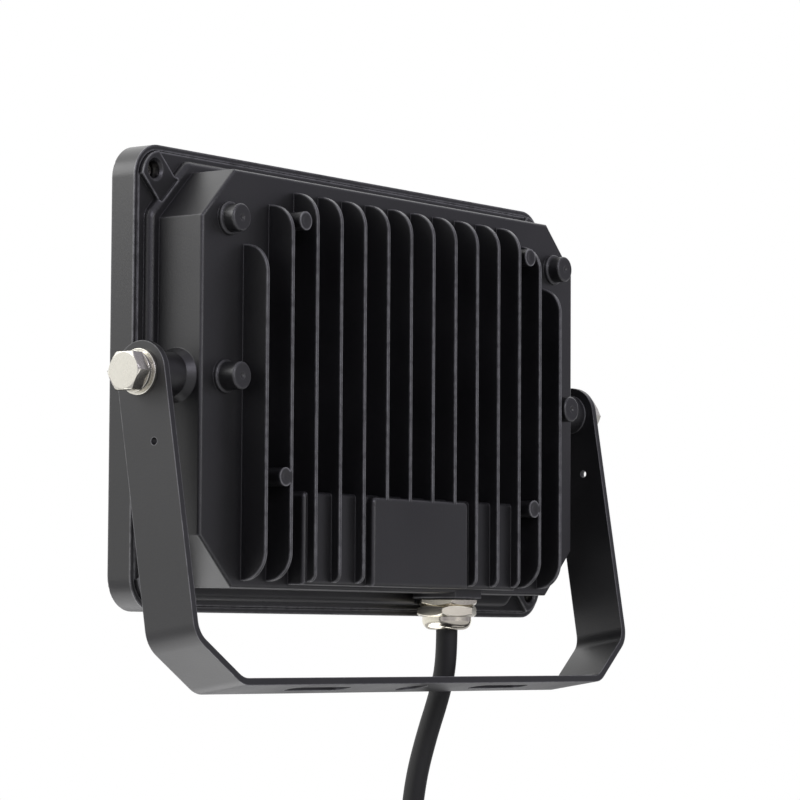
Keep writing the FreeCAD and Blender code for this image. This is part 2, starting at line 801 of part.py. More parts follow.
def led_board():
    """Aluminium-cored board that carries the light chips."""
    board = slab(-board_half_width, board_half_width, board_front, board_rear, board_bottom, board_top)
    return with_holes(board, post_places, board_hole_r, board_front, board_rear)


def thermal_pad():
    """Soft pad that carries the board's heat to the rear plate."""
    half_w = board_half_width - thermal_pad_inset
    pad = slab(
        -half_w, half_w, board_rear, plate_inner, chamber_top - box_half_h, board_top - thermal_pad_inset
    )
    return with_holes(pad, post_places, board_hole_r, board_rear, plate_inner)


def led_chips():
    """Rows of light chips on the board, centred in the reflector's throat."""
    mid_z = (throat_top + throat_bottom) / 2
    half = chip_size / 2
    front = board_front - chip_height
    chips = []
    for column in range(chip_columns):
        x = (column - (chip_columns - 1) / 2) * chip_pitch_x
        for row in range(chip_rows):
            z = mid_z + (row - (chip_rows - 1) / 2) * chip_pitch_z
            chips.append(slab(x - half, x + half, front, board_front, z - half, z + half))
    return chips


def led_board_screws():
    """Screws through the board into the posts of the rear plate."""
    return [small_screw(x, board_front, z, small_screw_length) for x, z in post_places]


def driver_board():
    """Circuit board of the mains driver, lying over the chamber."""
    board = slab(
        -driver_half_width, driver_half_width, driver_front, driver_rear, driver_bottom_z, driver_top_z
    )
    return with_holes(board, driver_screw_places(), board_hole_r, driver_front, driver_rear)


def driver_screws():
    """Screws that hold the driver board on its standoffs."""
    return [small_screw(x, driver_front, z, small_screw_length) for x, z in driver_screw_places()]


def driver_transformer():
    """Transformer: a wound bobbin between two core halves, under the hump."""
    width, depth, height = transformer_size
    end = driver_rear + depth
    core_low = driver_mid_z - transformer_core_height / 2
    core_high = driver_mid_z + transformer_core_height / 2
    low = driver_mid_z - height / 2
    high = driver_mid_z + height / 2
    half_bobbin = transformer_bobbin_width / 2
    core = slab(-width / 2, width / 2, driver_rear + transformer_step, end, core_low, core_high)
    bobbin = slab(-half_bobbin, half_bobbin, driver_rear, end - transformer_step, low, high)
    return joined([core, bobbin])


def driver_capacitors():
    """Round capacitors standing on the driver board."""
    cans = []
    for x, radius, height in capacitor_sizes:
        can = rod(radius, V(x, driver_rear, driver_mid_z), V(x, driver_rear + height, driver_mid_z))
        cans.append(can.makeFillet(radius * capacitor_round_share, edges_at(can, "y", driver_rear + height)))
    return cans


def flat_chips(sizes, y_seat, z_mid, direction):
    """Rectangular parts on a board, each given as x, width, height and thickness."""
    parts = []
    for x, width, height, thickness in sizes:
        y_other = y_seat + direction * thickness
        low, high = sorted((y_seat, y_other))
        parts.append(slab(x - width / 2, x + width / 2, low, high, z_mid - height / 2, z_mid + height / 2))
    return parts


def driver_fuse():
    """Glass-tube fuse on the front of the driver board."""
    y = driver_front - fuse_r
    z = driver_mid_z - fuse_drop
    return rod(fuse_r, V(fuse_x - fuse_length / 2, y, z), V(fuse_x + fuse_length / 2, y, z))


def terminal_block():
    """Screw terminal in front of the driver board, over the gland."""
    front = driver_front - terminal_depth
    half = terminal_width / 2
    high = terminal_low + terminal_height
    block = slab(gland_x - half, gland_x + half, front, driver_front, terminal_low, high)
    for side in (-half / 2, half / 2):
        entry = down(terminal_low) + X_AXIS * side
        clamp = V(entry.x, front, terminal_low + terminal_clamp_rise)
        block = block.cut(rod(terminal_hole_r, entry - Z_AXIS, entry + Z_AXIS * terminal_hole_depth))
        block = block.cut(rod(terminal_clamp_r, clamp - Y_AXIS, clamp + Y_AXIS * terminal_clamp_depth))
    return block


def tangent_path(points):
    """Straight runs joined by arcs, each arc as large as its two runs allow."""
    edges = []
    start = points[0]
    for before, corner, after in zip(points, points[1:], points[2:]):
        back = before - corner
        ahead = after - corner
        turn = math.pi - back.getAngle(ahead)
        trim = bend_share * min(back.Length, ahead.Length)
        radius = trim / math.tan(turn / 2)
        enter = corner + back.normalize() * trim
        leave = corner + ahead.normalize() * trim
        bisector = (back + ahead).normalize()
        middle = corner + bisector * (radius / math.cos(turn / 2) - radius)
        edges.append(Part.LineSegment(start, enter).toShape())
        edges.append(Part.Arc(enter, middle, leave).toShape())
        start = leave
    edges.append(Part.LineSegment(start, points[-1]).toShape())
    return Part.Wire(edges)


def tube(points, radius):
    """Round cord along a path of runs and arcs."""
    ring = Part.Wire(Part.makeCircle(radius, points[0], points[1] - points[0]))
    return tangent_path(points).makePipeShell([ring], True, False)


def inner_jacket():
    """The cord's jacket from the mouth of the gland to where it is stripped inside the box."""
    return rod(cord_r, down(gland_mouth + jacket_gap), down(jacket_top))


def inner_core(which):
    """A core from the jacket's end: live and neutral to the terminal, earth to its screw."""
    if which == "earth":
        ring_front = plate_inner - earth_ring_thickness
        end_x = earth_screw_x + earth_ring_r - earth_core_overlap
        end = V(end_x, ring_front - core_r, earth_screw_above - box_half_h)
        start = down(jacket_top) + V(*earth_core_start)
        rise = start + Z_AXIS * earth_core_rise
        points = [start, rise, start + V(*earth_core_knee), end + V(*earth_core_run), end]
        return tube(points, core_r - inner_core_thinner)
    side = 1 if which == "live" else -1
    end = down(terminal_low + terminal_hole_depth - terminal_hole_spare)
    end += X_AXIS * (side * terminal_width / 4)
    start = down(jacket_top) + X_AXIS * (side * inner_core_step)
    straight = Z_AXIS * ((end.z - start.z) * inner_core_straight)
    points = [start, start + straight, end - straight, end]
    return tube(points, core_r - inner_core_thinner)


def earth_screw():
    """Screw of the protective earth in the rear plate, over its ring terminal."""
    x = earth_screw_x
    z = earth_screw_above - box_half_h
    seat = V(x, plate_inner - earth_ring_thickness, z)
    head = rod(earth_head_r, seat - Y_AXIS * earth_head_height, seat)
    head = head.makeFillet(earth_head_round, edges_at(head, "y", seat.y - earth_head_height))
    return head.fuse(rod(earth_screw_r, seat, V(x, plate_inner + earth_screw_depth - earth_screw_spare, z)))


def earth_ring():
    """Ring terminal under the earth screw."""
    x = earth_screw_x
    z = earth_screw_above - box_half_h
    low = V(x, plate_inner - earth_ring_thickness, z)
    ring = rod(earth_ring_r, low, V(x, plate_inner, z))
    return ring.cut(rod(earth_screw_r + small_screw_clearance, low - Y_AXIS, V(x, plate_inner + past, z)))


def led_leads():
    """Two short wires that arch from the driver board to the light board."""
    wires = []
    low = driver_top_z - led_lead_reach
    high = board_bottom + led_lead_reach
    for side in (-1, 1):
        x = led_lead_x + side * led_lead_step / 2
        points = [
            V(x, driver_front, low),
            V(x, driver_front - led_lead_rise, low),
            V(x, board_front - led_lead_rise, high),
            V(x, board_front, high),
        ]
        wires.append(tube(points, led_lead_r))
    return wires


def sensor_leg_places():
    """Legs of the sensor's cover, one near each corner."""
    x = sensor_half_width - sensor_leg_inset
    step = sensor_height / 2 - sensor_leg_inset
    return [(px, sensor_mid_z + pz) for px, pz in corner_places(x, step)]


def sensor_cover():
    """Plastic cover behind the rim, its window standing through the rim's slot, on four legs."""
    plate = slab(
        -sensor_half_width, sensor_half_width, reflector_rear, reflector_rear + sensor_cover_thickness,
        sensor_bottom_z, sensor_top_z,
    )
    inset = sensor_window_inset
    half_w = sensor_half_width - inset
    front = reflector_front - sensor_window_proud
    plate_mid = reflector_rear + sensor_cover_thickness / 2
    window = slab(-half_w, half_w, front, plate_mid, sensor_bottom_z + inset, sensor_top_z - inset)
    window = window.makeFillet(sensor_window_round, edges_at(window, "y", front))
    legs = []
    for x, z in sensor_leg_places():
        legs.append(rod(sensor_leg_r, V(x, plate_mid, z), V(x, sensor_board_front, z)))
        legs.append(rod(sensor_pin_r, V(x, sensor_board_front - past, z), V(x, driver_front, z)))
    solid = joined([plate, window] + legs)
    hole = rod(
        light_sensor_r + light_sensor_gap,
        V(light_sensor_x, front - past, sensor_mid_z),
        V(light_sensor_x, sensor_board_front, sensor_mid_z),
    )
    return solid.cut(hole)


def sensor_board():
    """Board of the microwave motion sensor, on the legs of its cover."""
    inset = sensor_board_inset
    half_w = sensor_half_width - inset
    front = sensor_board_front
    rear = sensor_board_rear
    board = slab(-half_w, half_w, front, rear, sensor_bottom_z + inset, sensor_top_z - inset)
    return with_holes(board, sensor_leg_places(), sensor_pin_r + sensor_pin_clearance, front, rear)


def sensor_shield():
    """Folded metal can over the sensor's radio part."""
    width, depth, height = shield_size
    front = sensor_board_front - depth
    low = sensor_mid_z - height / 2
    outer = slab(-width / 2, width / 2, front, sensor_board_front, low, low + height)
    return outer.makeFillet(shield_round, edges_at(outer, "y", front))


def light_sensor():
    """Daylight sensor that looks out through the cover."""
    base = V(light_sensor_x, sensor_board_front, sensor_mid_z)
    tip = V(light_sensor_x, reflector_front, sensor_mid_z)
    body = rod(light_sensor_r, base, tip)
    return body.makeFillet(light_sensor_round, edges_at(body, "y", reflector_front))


def down(z):
    """Point on the gland's axis."""
    return V(gland_x, gland_y, z)


def gland_washer():
    """Flat seal between the gland and its seat."""
    ring = rod(gland_washer_r, down(gland_seat_z), down(gland_hex_top))
    return ring.cut(rod(gland_thread_r + gland_fit, down(gland_seat_z + past), down(gland_hex_top - past)))


def gland_body():
    """Nickel-plated body: thread through the wall, hexagon, and the neck that the nut turns on."""
    hexagon = chamfered_hex(gland_flats, down(gland_hex_top), down(gland_hex_low), gland_body_turn)
    thread = rod(gland_thread_r, down(gland_hex_low), down(gland_thread_top))
    neck = rod(gland_neck_r, down(gland_hex_low), down(gland_neck_low))
    solid = joined([hexagon, thread, neck])
    return solid.cut(rod(gland_bore_r, down(gland_thread_top + past), down(gland_neck_low - past)))


def gland_nut():
    """Domed nut that squeezes the rubber onto the cord."""
    hexagon = chamfered_hex(gland_flats, down(gland_hex_low), down(gland_nut_low), gland_nut_turn, True)
    dome = rod(gland_dome_r, down(gland_nut_low), down(gland_mouth))
    dome = dome.makeFillet(gland_dome_round, edges_at(dome, "z", gland_mouth))
    solid = joined([hexagon, dome])
    cavity = rod(gland_neck_r + gland_fit, down(gland_hex_low + past), down(gland_cavity_low))
    mouth = rod(cord_r + cord_mouth_clearance, down(gland_hex_low), down(gland_mouth - past))
    return solid.cut(cavity).cut(mouth)


def gland_seal():
    """Rubber sleeve between the cord and the gland."""
    low = gland_neck_low - gland_collar_height
    sleeve = rod(gland_bore_r - gland_fit, down(gland_hex_top), down(gland_neck_low))
    collar = rod(gland_neck_r - gland_fit, down(gland_neck_low), down(low))
    bore = rod(cord_r + gland_fit, down(gland_hex_top + past), down(low - past))
    return joined([sleeve, collar]).cut(bore)


def gland_lock_nut():
    """Thin nut on the gland's thread inside the box."""
    nut = chamfered_hex(lock_nut_flats, down(inner_bottom), down(lock_nut_top), 0)
    return nut.cut(rod(gland_thread_r + gland_fit, down(inner_bottom - past), down(lock_nut_top + past)))


def swivel_piece(radius, x_start, x_end):
    """Ring round the swivel bolt between two distances from the middle of the lamp."""
    ring = rod(radius, V(x_start, 0, 0), V(x_end, 0, 0))
    return ring.cut(rod(bolt_r + washer_hole_clearance, V(x_start - past, 0, 0), V(x_end + past, 0, 0)))


def pair(shape):
    """A piece and its mirror image on the other side."""
    return [shape, mirrored_x(shape)]


def friction_rings():
    """Thin fibre rings between the bosses and the arms."""
    return pair(swivel_piece(swivel_boss_r, swivel_boss_end, swivel_boss_end + pad_ring_thickness))


def flat_washers():
    """Flat washers outside the arms."""
    return pair(swivel_piece(washer_r, washer_inner, washer_inner + washer_thickness))


def spring_washers():
    """Split spring washers under the bolt heads."""
    start = washer_inner + washer_thickness
    half = spring_washer_slot / 2
    ring = swivel_piece(spring_washer_r, start, bolt_seat)
    slot = slab(start - past, bolt_seat + past, -half, half, 0, washer_r)
    slot.rotate(V(0, 0, 0), X_AXIS, spring_washer_turn)
    return pair(ring.cut(slot))


def swivel_bolts():
    """Hex bolts that the lamp turns on."""
    seat = V(bolt_seat, 0, 0)
    head = chamfered_hex(bolt_head_flats, seat, seat + X_AXIS * bolt_head_height, bolt_head_turn)
    shank = rod(bolt_r, V(bolt_tip, 0, 0), seat + X_AXIS)
    shank = shank.makeChamfer(bolt_tip_chamfer, edges_at(shank, "x", bolt_tip))
    return pair(joined([head, shank]))


def stands_at(edge, x, z):
    """Whether an edge starts at this x and z."""
    point = edge.Vertexes[0].Point
    return abs(point.x - x) < 1e-3 and abs(point.z - z) < 1e-3


def mounting_bracket():
    """Steel strip folded into a stirrup, with round lugs, two slots and a centre hole."""
    t = strip_thickness
    top = pivot_height + strip_half_width
    slope = math.atan2(bend_rise, bend_run)
    foot = arm_outer - bend_run
    inner_foot = foot - t * math.tan(slope / 2)
    inner_rise = bend_rise + t * math.tan((math.pi / 2 - slope) / 2)
    right = [(arm_outer, top), (arm_outer, bend_rise), (foot, 0)]
    inner = [(inner_foot, t), (arm_inner, inner_rise), (arm_inner, top)]
    left = [(-x, z) for x, z in reversed(right)]
    inner_left = [(-x, z) for x, z in reversed(inner)]
    strip = prism(right + left + inner_left + inner, -strip_half_width, strip_half_width)
    for corners, radius in ((right[1:], bend_r), (inner[:2], bend_r - t)):
        places = corners + [(-x, z) for x, z in corners]
        bends = [e for e in edges_along(strip, "y") if any(stands_at(e, x, z) for x, z in places)]
        strip = strip.makeFillet(radius, bends)
    reach = arm_outer + past
    lugs = rod(strip_half_width, V(-reach, 0, pivot_height), V(reach, 0, pivot_height))
    lugs = lugs.fuse(slab(-reach, reach, -strip_half_width, strip_half_width, -1, pivot_height))
    strip = strip.common(lugs)
    holes = [rod(bolt_r + bolt_hole_clearance, V(-reach, 0, pivot_height), V(reach, 0, pivot_height))]
    lock = V(0, lock_hole_back, pivot_height - lock_hole_below)
    holes.append(rod(lock_hole_r, lock - X_AXIS * reach, lock + X_AXIS * reach))
    holes.append(rod(centre_hole_r, V(0, 0, -1), V(0, 0, t + past)))
    half = slot_length / 2 - slot_r
    for sx in (1, -1):
        x = sx * slot_spacing / 2
        for end in (x - half, x + half):
            holes.append(rod(slot_r, V(end, 0, -1), V(end, 0, t + past)))
        holes.append(slab(x - half, x + half, -slot_r, slot_r, -1, t + past))
    return strip.cut(holes[0].multiFuse(holes[1:]))


def cord_coil():
    """Outer shape of the tied coil: a band as deep as its turns lie side by side."""
    front = V(coil_centre_x, coil_front_y - cord_r, coil_centre_z)
    rear = V(coil_centre_x, coil_rear_y + cord_r, coil_centre_z)
    ring = rod(coil_r + cord_r, front, rear).cut(rod(coil_r - cord_r, front - Y_AXIS, rear + Y_AXIS))
    return ring


def cord_lead(coil):
    """The cord from the mouth of the gland down to the coil."""
    trimmed = tube([V(*p) for p in cord_route], cord_r).cut(coil)
    return max(trimmed.Solids, key=lambda s: s.Volume)


def tail_point(below):
    """Point of the cord's free end, this far below the middle of the coil."""
    return V(coil_centre_x - coil_r, coil_rear_y, coil_centre_z - below)


def cord_tail(coil):
    """The cord's free end, hanging out of the coil."""
    solid = rod(cord_r, tail_point(0), tail_point(tail_length)).cut(coil)
    return max(solid.Solids, key=lambda s: s.BoundBox.ZLength)


def core_directions():
    """Where the three stripped cores point, spread about straight down."""
    spread = math.radians(core_spread)
    directions = []
    for turn in (90, 210, 330):
        level = V(math.cos(math.radians(turn)), math.sin(math.radians(turn)), 0)
        directions.append(level * math.sin(spread) - Z_AXIS * math.cos(spread))
    return directions


def core_start(direction):
    """Where a core with this direction leaves the end of the jacket."""
    return tail_point(tail_length) + V(direction.x, direction.y, 0).normalize() * core_from_axis


def end_core(direction):
    """One stripped core at the free end."""
    clear = core_r * math.sin(math.radians(core_spread))
    return Part.makeCylinder(core_r, stripped_length, core_start(direction) + direction * clear, direction)


def end_ferrules():
    """Crimped sleeves on the ends of the cores."""
    sleeves = []
    for direction in core_directions():
        tip = core_start(direction) + direction * stripped_length
        sleeves.append(Part.makeCylinder(ferrule_r, ferrule_length, tip, direction).cut(end_core(direction)))
    return sleeves


def coil_tie():
    """Strap round the bundle at the top of the coil."""
    half = tie_width / 2
    sag = coil_r - cord_r - math.sqrt((coil_r - cord_r) ** 2 - half**2)
    low = coil_centre_z + coil_r - cord_r - sag - tie_slack
    high = coil_centre_z + coil_r + cord_r + tie_slack
    front = coil_front_y - cord_r - tie_slack
    rear = coil_rear_y + cord_r + tie_slack
    t = tie_thickness
    outer = slab(coil_centre_x - half, coil_centre_x + half, front - t, rear + t, low - t, high + t)
    outer = outer.makeFillet(t, edges_along(outer, "x"))
    return outer.cut(slab(coil_centre_x - half - past, coil_centre_x + half + past, front, rear, low, high))


def write(name, shape, place=None):
    """Write one sub-part, or a group of separate like pieces, to its own file, moved by place if given."""
    if isinstance(shape, list):
        shape = Part.makeCompound(shape)
    if place:
        shape = place(shape)
    shape.exportStep(f"parts/{name}.step")


def main():
    """Make every piece and write it in its place."""
    os.makedirs("parts", exist_ok=True)
    head = {
        "rear_housing": rear_housing(),
        "front_frame": front_frame(),
        "glass_pane": glass_pane(),
        "glass_seal": glass_seal(),
        "frame_screws": frame_screws(),
        "reflector": reflector(),
        "reflector_screws": reflector_screws(),
        "led_board": led_board(),
        "led_chips": led_chips(),
        "led_board_screws": led_board_screws(),
        "thermal_pad": thermal_pad(),
        "driver_board": driver_board(),
        "driver_screws": driver_screws(),
        "driver_transformer": driver_transformer(),
        "driver_capacitors": driver_capacitors(),
        "driver_chips": flat_chips(driver_chip_sizes, driver_rear, driver_mid_z, 1),
        "driver_fuse": driver_fuse(),
        "terminal_block": terminal_block(),
        "inner_jacket": inner_jacket(),
        "inner_core_live": inner_core("live"),
        "inner_core_neutral": inner_core("neutral"),
        "inner_core_earth": inner_core("earth"),
        "earth_screw": earth_screw(),
        "earth_ring": earth_ring(),
        "led_leads": led_leads(),
        "sensor_cover": sensor_cover(),
        "sensor_board": sensor_board(),
        "sensor_shield": sensor_shield(),
        "sensor_chips": flat_chips(sensor_chip_sizes, sensor_board_rear, sensor_mid_z, 1),
        "light_sensor": light_sensor(),
        "gland_washer": gland_washer(),
        "gland_body": gland_body(),
        "gland_nut": gland_nut(),
        "gland_seal": gland_seal(),
        "gland_lock_nut": gland_lock_nut(),
        "friction_rings": friction_rings(),
        "flat_washers": flat_washers(),
        "spring_washers": spring_washers(),
        "swivel_bolts": swivel_bolts(),
    }
    for name, shape in head.items():
        write(name, shape, mounted)
    coil = cord_coil()
    write("cord_lead", cord_lead(coil))
    write("cord_coil", coil)
    write("cord_tail", cord_tail(coil))
    for name, direction in zip(("live", "neutral", "earth"), core_directions()):
        write(f"end_core_{name}", end_core(direction))
    write("end_ferrules", end_ferrules())
    write("coil_tie", coil_tie())
    write("mounting_bracket", mounting_bracket())


main()
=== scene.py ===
"""Looks of the stirrup floodlight: coats, plated metal, glass, light source, sensor and cord."""
import json
import math

import bmesh
import bpy
from bpy.props import FloatProperty, FloatVectorProperty, PointerProperty
from mathutils import Matrix, Vector


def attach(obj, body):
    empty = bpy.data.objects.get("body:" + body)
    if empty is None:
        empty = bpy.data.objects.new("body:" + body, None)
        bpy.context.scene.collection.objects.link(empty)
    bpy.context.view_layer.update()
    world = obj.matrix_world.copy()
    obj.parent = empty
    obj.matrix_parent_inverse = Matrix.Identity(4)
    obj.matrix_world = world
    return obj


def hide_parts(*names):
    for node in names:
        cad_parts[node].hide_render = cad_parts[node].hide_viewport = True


bl_info = {
    "name": "Stirrup Floodlight",
    "version": (1, 0, 0),
    "blender": (4, 5, 0),
    "location": "View3D > Sidebar > Floodlight",
    "description": "Dresses the pieces of a rectangular floodlight on a stirrup bracket",
    "category": "Object",
}

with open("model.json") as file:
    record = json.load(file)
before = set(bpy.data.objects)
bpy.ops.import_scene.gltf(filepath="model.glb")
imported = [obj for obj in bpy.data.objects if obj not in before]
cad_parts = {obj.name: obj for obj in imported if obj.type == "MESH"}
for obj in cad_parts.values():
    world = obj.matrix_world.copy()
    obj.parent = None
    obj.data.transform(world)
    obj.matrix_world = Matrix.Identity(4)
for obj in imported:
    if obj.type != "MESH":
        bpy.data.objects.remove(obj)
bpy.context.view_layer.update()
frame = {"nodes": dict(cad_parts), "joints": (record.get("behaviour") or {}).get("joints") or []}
NODES = frame["nodes"]
MM = 0.001
WHITE = (1, 1, 1, 1)

# The swivel axis, and how the lamp's own frame is turned about it at rest
TILT_AXIS = Vector(frame["joints"][0]["pos_m"])
REST_TILT = math.radians(9.2)
HEAD_TURN = Matrix.Rotation(-REST_TILT, 3, "X")

# The photograph's camera in the lamp's own frame, its origin on the swivel axis
CAMERA_PLACE = Vector((1.00107, 0.76234, -0.09089))
CAMERA_YAW = math.radians(53.131)
CAMERA_PITCH = math.radians(4.058)
CAMERA_ROLL = math.radians(0.327)
SENSOR_WIDTH = 36.0
FOCAL_SHARE = 4.2559  # focal length over the picture's width
CLIP_START = 0.05
CLIP_END = 50

# Route of the cord from the mouth of the gland down to its coil, in millimetres
CORD_ROUTE = (
    (-44.0, -12.5, 23.6),
    (-44.0, -14.5, 11.3),
    (-42.6, -19.0, -0.9),
    (-39.4, -24.5, -14.6),
    (-36.3, -29.7, -29.9),
    (-34.2, -33.4, -47.0),
    (-33.2, -35.3, -65.0),
    (-33.0, -35.8, -84.0),
)
CORD_RADIUS = 4.1 * MM
COIL_TURNS = 3
COIL_RADIUS = 44.0 * MM
COIL_LANE = 8.3 * MM
COIL_POINTS = 14
COIL_CENTRE_Z = -98.0 * MM
COIL_WANDER = 0.5 * MM
COIL_WANDER_PACE = 4.1  # radians of the wander in each turn
TAIL_LENGTH = 30.0 * MM

# Small pan-head screws: sizes as in the frame's nodes, and shares of the head for its form
SCREW_HEAD = 2.75 * MM
SCREW_HEAD_HEIGHT = 1.7 * MM
SCREW_SHANK = 1.5 * MM
SCREW_SIDES = 28
HEAD_TOP = 0.74
HEAD_PROFILE = ((0.91, 0.88), (0.985, 0.7), (1.0, 0.5), (1.0, 0.0))  # radius, height
TIP_WIDTH = 0.7
TIP_LENGTH = 0.3
RECESS_MOUTH = (0.56, 0.13)  # reach, half width
RECESS_FOOT = (0.3, 0.09)
RECESS_DEPTH = 0.6

# Phosphor on the light chips
PHOSPHOR_HALF = 1.15 * MM
PHOSPHOR_CORNER = 0.3 * MM
PHOSPHOR_PROUD = 0.05 * MM
PHOSPHOR_TOP = 0.92

# Edge rounds of the pieces that have no setting for it, and how rounds are made
THIN_EDGE = 0.1 * MM
SMALL_EDGE = 0.15 * MM
SOFT_EDGE = 0.2 * MM
WELD_GAP = 0.002 * MM
FLAT_ANGLE = math.radians(0.3)
ROUND_ANGLE = math.radians(28)
ROUND_SEGMENTS = 2

# Shader groups: kinds of socket, size of the patches, and the ranges of noise that are used
FLOAT = "NodeSocketFloat"
COLOUR = "NodeSocketColor"
VECTOR = "NodeSocketVector"
PATCH_SIZE = 40 * MM
PATCH_NOISE = (0.3, 0.7)
TONE_NOISE = (0.7, 1.3)
BREAK_NOISE = (0.3, 0.6)
BREAK_LEAST = 0.45
EDGE_SHELTER = (0.97, 0.6)
EDGE_SAMPLES = 8
ROUND_SAMPLES = 6
STRIPE_BLEND = 0.08

# Studio: where the front turns into the rear and the middle into the top, and the soft lamps
TURN_TO_REAR = (-0.1, 0.45)
TURN_TO_TOP = (0.2, 0.8)
FLOOR_HALF = 1.2
LAMPS = (  # name, place, aim, size, brightness
    ("Side Lamp", (0.46, -0.25, 0.46), (0.12, 0, 0.14), (0.3, 0.3), 3.6),
    ("Rear Lamp", (-0.15, 1.8, 0.15), (0, 0, 0.1), (0.9, 0.7), 3.0),
    ("Key Lamp", (0.7, 1.5, 0.7), (0, 0, 0.1), (0.5, 0.5), 9),
    ("Under Lamp", (0.12, -0.24, -0.18), (0.12, -0.24, 1.0), (0.5, 0.4), 1.9),
)

# Electronics: colour and roughness of each finish, and the pieces that have it
ELECTRONIC_FINISHES = {
    "Green Solder Mask": ((0.012, 0.10, 0.035), 0.35, ("driver_board", "sensor_board")),
    "Ferrite": (
        (0.02, 0.02, 0.021), 0.6, ("driver_transformer", "driver_chips", "sensor_chips"),
    ),
    "Capacitor Sleeve": ((0.02, 0.025, 0.05), 0.3, ("driver_capacitors",)),
    "Fuse Tube": ((0.55, 0.56, 0.55), 0.15, ("driver_fuse",)),
    "Terminal Moulding": ((0.03, 0.16, 0.06), 0.4, ("terminal_block",)),
    "Cover Moulding": ((0.78, 0.78, 0.76), 0.5, ("sensor_cover",)),
    "Sensor Epoxy": ((0.10, 0.012, 0.01), 0.15, ("light_sensor",)),
    "Brown Insulation": ((0.10, 0.035, 0.012), 0.45, ("inner_core_live", "end_core_live")),
    "Blue Insulation": ((0.012, 0.07, 0.32), 0.45, ("inner_core_neutral", "end_core_neutral")),
    "Red Insulation": ((0.32, 0.012, 0.01), 0.45, ("led_leads",)),
    "Earth Insulation": ((0.02, 0.16, 0.03), 0.45, ("inner_core_earth", "end_core_earth")),
}
EARTH_YELLOW = (0.70, 0.55, 0.02, 1)


class CoatSettings(bpy.types.PropertyGroup):
    """Black powder coat on the castings and the stirrup."""

    colour: FloatVectorProperty(
        name="Coat colour", description="Colour of the powder coat", subtype="COLOR",
        default=(0.0045, 0.0044, 0.0050),
    )
    # Painted highlight: a lighter colour laid along the coat's outer edges
    edge_highlight_colour: FloatVectorProperty(
        name="Edge highlight colour", description="Colour of the thin coat on edges", subtype="COLOR",
        default=(0.14, 0.14, 0.144),
    )
    roughness: FloatProperty(
        name="Roughness", description="Roughness of the coat", default=0.41, min=0, max=1,
    )
    grain: FloatProperty(
        name="Grain", description="Size of the coat's fine grain", default=0.8 * MM,
        unit="LENGTH", min=0,
    )
    edge: FloatProperty(
        name="Edge round", description="Round on the cast edges", default=0.45 * MM,
        unit="LENGTH", min=0,
    )
    # Reach of the painted highlight on the cast edges
    cast_highlight_reach: FloatProperty(
        name="Edge highlight reach", description="Reach of the thin coat on cast edges",
        default=0.9 * MM, unit="LENGTH", min=0,
    )
    # Round on the stirrup's edges, and also the reach of the painted highlight on them
    strip_edge: FloatProperty(
        name="Strip edge", description="Round on the edges of the stirrup",
        default=0.4 * MM, unit="LENGTH", min=0,
    )


class MetalSettings(bpy.types.PropertyGroup):
    """Plated bolts, washers and gland."""

    nickel: FloatVectorProperty(
        name="Nickel", description="Colour of the plated gland", subtype="COLOR",
        default=(0.70, 0.66, 0.56),
    )
    steel: FloatVectorProperty(
        name="Steel", description="Colour of the plated screws and bolts", subtype="COLOR",
        default=(0.61, 0.59, 0.53),
    )
    edge: FloatProperty(
        name="Edge round", description="Round on the edges", default=0.2 * MM,
        unit="LENGTH", min=0,
    )
    bolt_turn: FloatProperty(
        name="Bolt turn", description="Turn of the bolt heads from a corner on top",
        subtype="ANGLE", default=math.radians(30),
    )


class CordSettings(bpy.types.PropertyGroup):
    """Rubber mains cord."""

    colour: FloatVectorProperty(
        name="Rubber", description="Colour of the cord's rubber", subtype="COLOR",
        default=(0.008, 0.008, 0.008),
    )
    roughness: FloatProperty(
        name="Roughness", description="Roughness of the rubber", default=0.6, min=0, max=1,
    )


class StageSettings(bpy.types.PropertyGroup):
    """Floor and light."""

    floor_drop: FloatProperty(
        name="Floor", description="Height of the floor under the mounting face",
        default=-0.19, unit="LENGTH",
    )
    floor_shade: FloatProperty(
        name="Floor shade", description="Shade of the floor", default=0.85, min=0, max=1,
    )
    floor_bounce: FloatProperty(
        name="Floor bounce", description="Share of light that the floor throws back",
        default=0.42, min=0, max=1,
    )
    front_light: FloatProperty(
        name="Front", description="Brightness of the studio's front", default=1.1, min=0,
    )
    rear_light: FloatProperty(
        name="Rear", description="Brightness of the studio's rear", default=0.32, min=0,
    )
    upper_light: FloatProperty(
        name="Above", description="Added brightness of the studio's top", default=0.6, min=0,
    )
    rear_tint: FloatVectorProperty(
        name="Rear tint", description="Colour of the light from the rear", subtype="COLOR",
        default=(1.0, 0.97, 1.13),
    )


def in_part(point):
    """A point of the lamp's own frame, in the part's frame."""
    return HEAD_TURN @ Vector(point) + TILT_AXIS


def loose_solids(name):
    """Lowest and highest corners of each loose solid of a node, in the lamp's own frame."""
    mesh = bmesh.new()
    mesh.from_mesh(NODES[name].data)
    bmesh.ops.remove_doubles(mesh, verts=mesh.verts, dist=WELD_GAP)
    back = HEAD_TURN.transposed()
    waiting = set(mesh.verts)
    found = []
    for first in mesh.verts:
        if first not in waiting:
            continue
        waiting.discard(first)
        reached = [first]
        for vert in reached:
            for edge in vert.link_edges:
                other = edge.other_vert(vert)
                if other in waiting:
                    waiting.discard(other)
                    reached.append(other)
        places = [back @ (vert.co - TILT_AXIS) for vert in reached]
        found.append([Vector([pick(p[i] for p in places) for i in range(3)])
                      for pick in (min, max)])
    mesh.free()
    return found


def finished(name, mesh, material, own_frame=True):
    """Piece that rides on the head, from a mesh in the lamp's own frame or the part's."""
    if own_frame:
        for vert in mesh.verts:
            vert.co = in_part(vert.co)
    bmesh.ops.recalc_face_normals(mesh, faces=mesh.faces)
    data = bpy.data.meshes.new(name)
    mesh.to_mesh(data)
    mesh.free()
    data.materials.append(material)
    made = bpy.data.objects.new(name, data)
    bpy.context.collection.objects.link(made)
    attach(made, "head")
    return made


